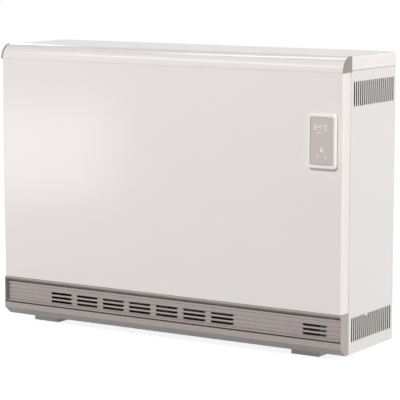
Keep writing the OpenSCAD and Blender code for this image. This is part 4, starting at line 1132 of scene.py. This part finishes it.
@dataclass
class Display:
    """Raised display with its screen and printed marks."""

    corner: float = 8 * MM
    edge: float = 4.5 * MM
    foot: Point = (4.5 * MM, 7 * MM)
    pocket_gap: float = 0.8 * MM
    ledge: float = 2 * MM
    shell_soft: float = 0.25 * MM
    screen_corner: float = 4.5 * MM
    screen_soft: float = 0.3 * MM
    ink_t: float = 0.04 * MM
    ring_reach: float = 3 * MM
    stroke: float = 1.5 * MM
    bar_round: float = 0.45
    digit: Point = (7.2 * MM, 10.9 * MM)
    digit_foot: float = 514.7 * MM
    digits: tuple[tuple[float, str], ...] = ((399.8 * MM, "tmbqs"), (409.4 * MM, "psmr"), (425.6 * MM, "tbpq"))
    bars: tuple[tuple[float, float, float, float], ...] = (
        (407.5 * MM, 508.2 * MM, 9 * MM, 1.4 * MM), (415 * MM, 469.6 * MM, 8 * MM, 3.2 * MM))
    rings: tuple[tuple[float, float, float, float], ...] = (
        (418 * MM, 523.6 * MM, 1.7 * MM, 0.7 * MM), (415 * MM, 473.8 * MM, 3 * MM, 0.9 * MM),
        (404.5 * MM, 456.5 * MM, 2.6 * MM, 0.8 * MM), (424.3 * MM, 455.6 * MM, 2.6 * MM, 0.8 * MM))

    def housing(self) -> None:
        """Soft-edged rim on a narrower foot, with a stepped pocket for the screen."""
        low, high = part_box("display_housing")
        inset, depth = self.foot
        piece = rounded_bar(low, (high.x, high.y - depth, high.z), Axis.Y, self.corner, segments=10)
        piece.bevel(lambda m, run: m.y < low.y + TOUCH, self.edge, segments=8)
        piece.combine(rounded_bar((low.x + inset, high.y - depth - MM, low.z + inset),
                                  (high.x - inset, high.y, high.z - inset), Axis.Y, self.corner - inset), Way.UNITE)
        s_low, s_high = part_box("display_screen")
        for margin, depth in ((self.pocket_gap, s_high.y + self.pocket_gap), (-self.ledge, high.y + MM)):
            piece.combine(rounded_bar((s_low.x - margin, low.y - MM, s_low.z - margin),
                                      (s_high.x + margin, depth, s_high.z + margin),
                                      Axis.Y, self.screen_corner + min(margin, 0)))
        piece.soften(self.shell_soft)
        piece.hand_in("display_shell", HOUSING, "root", "display_housing")

    def screen(self) -> None:
        """Screen plate with a fine edge."""
        low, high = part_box("display_screen")
        piece = rounded_bar(low, high, Axis.Y, self.screen_corner, segments=8).soften(self.screen_soft)
        piece.hand_in("screen_plate", SCREEN, "root", "display_screen")

    def _bar(self, x: float, z: float, w: float, h: float) -> Workpiece:
        """Return one printed bar with round corners, by its middle, width and height."""
        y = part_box("display_screen")[0].y
        return rounded_bar((x - w / 2, y - self.ink_t, z - h / 2), (x + w / 2, y + self.ink_t, z + h / 2),
                           Axis.Y, min(w, h) * self.bar_round, segments=3)

    def _ring(self, x: float, z: float, radius: float, stroke: float) -> Workpiece:
        """Print one ring.

        Args:
            x: Its middle along the front.
            z: Its middle's height.
            radius: Its outer radius.
            stroke: Its width.

        Returns:
            The ring.
        """
        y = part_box("display_screen")[0].y - self.ink_t
        ring = Workpiece.rod((x, y, z), Axis.Y, radius, 2 * self.ink_t, sides=40)
        return ring.combine(Workpiece.rod((x, y - MM, z), Axis.Y, radius - stroke, self.ring_reach, sides=40))

    def _digit(self, x: float, names: str) -> list[Workpiece]:
        """Print one character in seven segments.

        Args:
            x: Its middle along the front.
            names: Its segments: t, m and b lie at the top, middle and bottom, p and q stand at the left and
                s and r at the right, the upper one first.

        Returns:
            A bar for each segment.
        """
        t, (wide, high) = self.stroke, self.digit
        side, rise, half = (wide - t) / 2, high / 2 - t / 2, (high - t) / 2
        spots = {"t": (0, rise, wide, t), "m": (0, 0, wide, t), "b": (0, -rise, wide, t),
                 "p": (-side, half / 2, t, half), "q": (-side, -half / 2, t, half),
                 "s": (side, half / 2, t, half), "r": (side, -half / 2, t, half)}
        chosen = [spots[name] for name in names]
        return [self._bar(x + dx, self.digit_foot + high / 2 + dz, w, h) for dx, dz, w, h in chosen]

    def marks(self) -> None:
        """Temperature in seven-segment digits, a bar, a lock and two touch rings."""
        parts = [bar for x, names in self.digits for bar in self._digit(x, names)]
        parts += [self._bar(*bar) for bar in self.bars] + [self._ring(*ring) for ring in self.rings]
        parts[0].join(*parts[1:]).hand_in("screen_marks", INK, "root")

    def build(self) -> None:
        """Model the display."""
        self.housing()
        self.screen()
        self.marks()


# ------------------------------------------------------------------ feet and screws


@dataclass
class Base:
    """Feet and visible screws."""

    foot_wall: float = 1.5 * MM
    foot_r: float = 3 * MM
    hole_r: float = 4.5 * MM
    hole_y: tuple[float, ...] = (-35 * MM, 65 * MM)
    hole_reach: float = 4 * MM
    head_r: float = 3.5 * MM
    head_h: float = 1.3 * MM
    shank_r: float = 1.75 * MM
    shank_root: float = 0.1 * MM
    recess: Point = (4 * MM, 0.9 * MM)
    recess_floor: float = 0.35
    round_share: float = 0.6
    foot_soft: float = 0.3 * MM

    def foot(self, node: str) -> None:
        """Shallow pressed box with holes for floor screws.

        Args:
            node: The CAD node of the foot.
        """
        low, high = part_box(node)
        piece = Workpiece.block(low, high)
        piece.bevel(lambda m, run: abs(run.z) > ALIGNED, self.foot_r)
        piece.delete_faces(lambda m, n: n.z > ALIGNED)
        piece.bevel(lambda m, run: m.z < low.z + TOUCH, self.foot_r * self.round_share, segments=4)
        piece.thicken(self.foot_wall)
        for y in self.hole_y:
            piece.combine(Workpiece.rod(((low.x + high.x) / 2, y, low.z - MM), Axis.Z, self.hole_r, self.hole_reach))
        piece.soften(self.foot_soft)
        piece.hand_in(f"{node}_box", WHITE, "root", node)

    def _screw(self, length: float) -> Workpiece:
        """Make a pan-head screw with a cross recess.

        Args:
            length: The length of its shank.

        Returns:
            The screw, head up, with the head's seat at the origin.
        """
        head = Workpiece.rod((0, 0, 0), Axis.Z, self.head_r, self.head_h)
        head.bevel(lambda m, run: m.z > self.head_h - TOUCH, self.head_h * self.round_share, segments=4)
        wide, slim = self.recess[0] / 2, self.recess[1] / 2
        for x, y in ((wide, slim), (slim, wide)):
            head.combine(Workpiece.block((-x, -y, self.head_h * self.recess_floor), (x, y, 2 * self.head_h)))
        return head.join(Workpiece.rod((0, 0, -length), Axis.Z, self.shank_r, length + self.shank_root, sides=20))

    def _set(self, name: str, node: str, length: float, places: Sequence[Matrix]) -> None:
        """Make one screw and copy it to its places.

        Args:
            name: The name of the joined piece.
            node: The CAD node that it stands for.
            length: The whole length of each screw.
            places: Where the seats of their heads go.
        """
        pattern = self._screw(length - self.head_h)
        copies = [pattern.copy(place) for place in places]
        copies[0].join(*copies[1:]).hand_in(name, SCREW, "root", node)
        bpy.data.objects.remove(pattern.obj)

    def screws(self) -> None:
        """Three screws under the outlet's lip and six at the back."""
        low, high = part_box("front_panel_screws")
        down = Matrix.Rotation(math.pi, 4, "X")
        self._set("lip_screws", "front_panel_screws", high.z - low.z,
                  [Matrix.Translation((x, Casing.screw_y, low.z + self.head_h)) @ down for x in Casing.screw_x])
        low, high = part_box("casing_screws")
        back = Matrix.Rotation(-math.pi / 2, 4, "X")
        heights = (low.z + self.head_r, (low.z + high.z) / 2, high.z - self.head_r)
        self._set("back_screws", "casing_screws", high.y - low.y,
                  [Matrix.Translation((x, high.y - self.head_h, z)) @ back
                   for x in (low.x + self.head_r, high.x - self.head_r) for z in heights])

    def build(self) -> None:
        """Model the feet and screws."""
        self.foot("foot_left")
        self.foot("foot_right")
        self.screws()


# ------------------------------------------------------------------ studio


class Reach(Enum):
    """What a lamp lights: everything, only the sheen, or all but the sheen."""

    ALL = (True, True)
    SHEEN = (False, True)
    FILL = (True, False)


@dataclass
class Lamp:
    """One soft rectangular lamp, aimed at a point."""

    name: str
    place: tuple[float, float, float]
    aim: tuple[float, float, float]
    size: Point
    power: float
    reach: Reach = Reach.ALL

    def build(self) -> None:
        """Hang the lamp and turn it to its aim."""
        data = bpy.data.lights.new(self.name, "AREA")
        data.shape = "RECTANGLE"
        data.size, data.size_y = self.size
        data.energy = self.power
        lamp = bpy.data.objects.new(self.name, data)
        bpy.context.scene.collection.objects.link(lamp)
        lamp.visible_diffuse, lamp.visible_glossy = self.reach.value
        lamp.location = self.place
        lamp.rotation_euler = (Vector(self.aim) - Vector(self.place)).to_track_quat("-Z", "Y").to_euler()


@dataclass
class Studio:
    """Camera, lamps, pale floor and white surroundings."""

    camera_place: tuple[float, float, float] = (2.40623, -3.73963, 0.92545)
    azimuth: float = 32.5046
    elevation: float = 7.784
    roll: float = 0.0543
    lens: float = 173.483
    sensor: float = 36
    backdrop: Colour = (1.0, 1.0, 1.0)
    floor_colour: Colour = (0.45, 0.45, 0.45)
    floor_glow: float = 0.85
    floor_fade: Point = (1.1, 2.3)
    floor_size: float = 40
    world_light: float = 0.1
    mirrored: float = 0.92
    lamps: list[Lamp] = field(default_factory=lambda: [
        Lamp("left_softbox", (-1.97, -1.6, 0.78), (-0.2, -0.1, 0.35), (1.15, 1.7), 18, Reach.FILL),
        Lamp("left_sheen", (-1.756, -1.852, 0.17), (0.014, -0.352, 0.17), (0.66, 0.34), 1.9, Reach.SHEEN),
        Lamp("left_feather", (-1.498, -2.157, 0.17), (0.272, -0.657, 0.17), (0.14, 0.34), 0.05, Reach.SHEEN),
        Lamp("trim_strip", (-1.3, -1.78, 2.25), (0.3, -0.1, 0.45), (1.5, 0.5), 7, Reach.SHEEN),
        Lamp("bead_strip", (-0.75, 0.65, 2.63), (0.1, -0.1, 0.65), (1.6, 0.3), 8.5, Reach.SHEEN),
        Lamp("key_softbox", (0.7, -2.95, 2.15), (0, 0, 0.3), (1.6, 1.0), 71),
        Lamp("right_softbox", (2.6, 0.4, 1.5), (0.2, 0, 0.35), (1.4, 1.4), 30, Reach.FILL),
        Lamp("low_softbox", (3.0, 0.45, 0.6), (0.2, 0, 0.35), (1.4, 1.2), 25, Reach.FILL),
        Lamp("rear_softbox", (-2.6, 1.6, 1.3), (0, 0.1, 0.35), (1.4, 1.4), 30),
    ])

    def camera(self) -> None:
        """Place the camera at the photograph's viewing angle."""
        data = bpy.data.cameras.new("camera")
        data.lens, data.sensor_width = self.lens, self.sensor
        camera = bpy.data.objects.new("camera", data)
        bpy.context.scene.collection.objects.link(camera)
        az, el = math.radians(self.azimuth), math.radians(self.elevation)
        back = Vector((math.sin(az) * math.cos(el), -math.cos(az) * math.cos(el), math.sin(el)))
        right = Vector((math.cos(az), math.sin(az), 0))
        turn = Matrix((right, back.cross(right), back)).transposed() @ Matrix.Rotation(math.radians(self.roll), 3, "Z")
        camera.matrix_world = Matrix.Translation(self.camera_place) @ turn.to_4x4()
        bpy.context.scene.camera = camera

    def _seen(self, tree: Tree) -> Value:
        """Add what tells how white a ray finds the surroundings.

        Args:
            tree: The tree of the world or the floor.

        Returns:
            A value that is 1 for camera rays, a little less for glossy ones and 0 for the rest.
        """
        camera, glossy = (tree.add("ShaderNodeLightPath", {}, {}, ray) for ray in ("Is Camera Ray", "Is Glossy Ray"))
        return tree.add("ShaderNodeMath", {"operation": "MAXIMUM"}, {0: camera, 1: self.mirrored * glossy})

    def _fade(self, floor: Graph) -> Value:
        """Add what lets the floor fade into the white world.

        Args:
            floor: The floor's material.

        Returns:
            A value that falls from 1 to 0 with the distance from the heater.
        """
        start, end = self.floor_fade
        length = floor.add("ShaderNodeVectorMath", {"operation": "LENGTH"}, {0: floor.place}, "Value")
        return floor.add("ShaderNodeMapRange", {"interpolation_type": "SMOOTHSTEP"},
                         {"Value": length, "From Min": start, "From Max": end, "To Min": 1, "To Max": 0})

    def world(self) -> None:
        """Make the world white to the eye and soft as a light."""
        world = bpy.data.worlds.new("studio")
        bpy.context.scene.world = world
        world.use_nodes = True
        tree = Tree(world.node_tree)
        background = world.node_tree.nodes["Background"]
        tree.feed(background.inputs["Color"], self.backdrop)
        tree.feed(background.inputs["Strength"],
                  tree.add("ShaderNodeMapRange", {}, {"Value": self._seen(tree), "To Min": self.world_light}))

    def floor(self) -> None:
        """Lay the pale, matt floor."""
        graph = Graph("pale_floor")
        graph.put("Base Color", self.floor_colour)
        graph.put("Roughness", 1.0)
        graph.put("Specular IOR Level", 0.0)
        graph.put("Emission Color", self.backdrop)
        graph.put("Emission Strength", self.floor_glow * self._seen(graph))
        graph.put("Alpha", self._fade(graph))
        bpy.ops.object.select_all(action="DESELECT")
        bpy.ops.mesh.primitive_plane_add(size=self.floor_size)
        floor = bpy.context.object
        floor.name = "floor"
        floor.data.materials.append(graph.material)

    def build(self) -> None:
        """Set up the studio."""
        self.camera()
        self.world()
        self.floor()
        for lamp in self.lamps:
            lamp.build()
        bpy.context.scene.view_settings.view_transform = "Standard"


def dress_nodes() -> None:
    """Give every CAD node the finish of its slot in the record."""
    finishes = {finish.slot: finish for finish in FINISHES}
    for row in frame["record"]["subparts"]:
        node = frame["nodes"][row["node"]]
        for slot in node.material_slots:
            slot.material = finishes[row["material_slot"]].material()
        log.info("%s: finish %s", row["node"], row["material_slot"])


def main() -> None:
    """Build the scene round the frame."""
    logging.basicConfig(level=logging.INFO, format="%(name)s: %(message)s")
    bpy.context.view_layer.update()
    Studio().build()
    dress_nodes()
    for group in (Casing(), Outlet(), Display(), Base()):
        group.build()


if __name__ == "__main__":
    main()
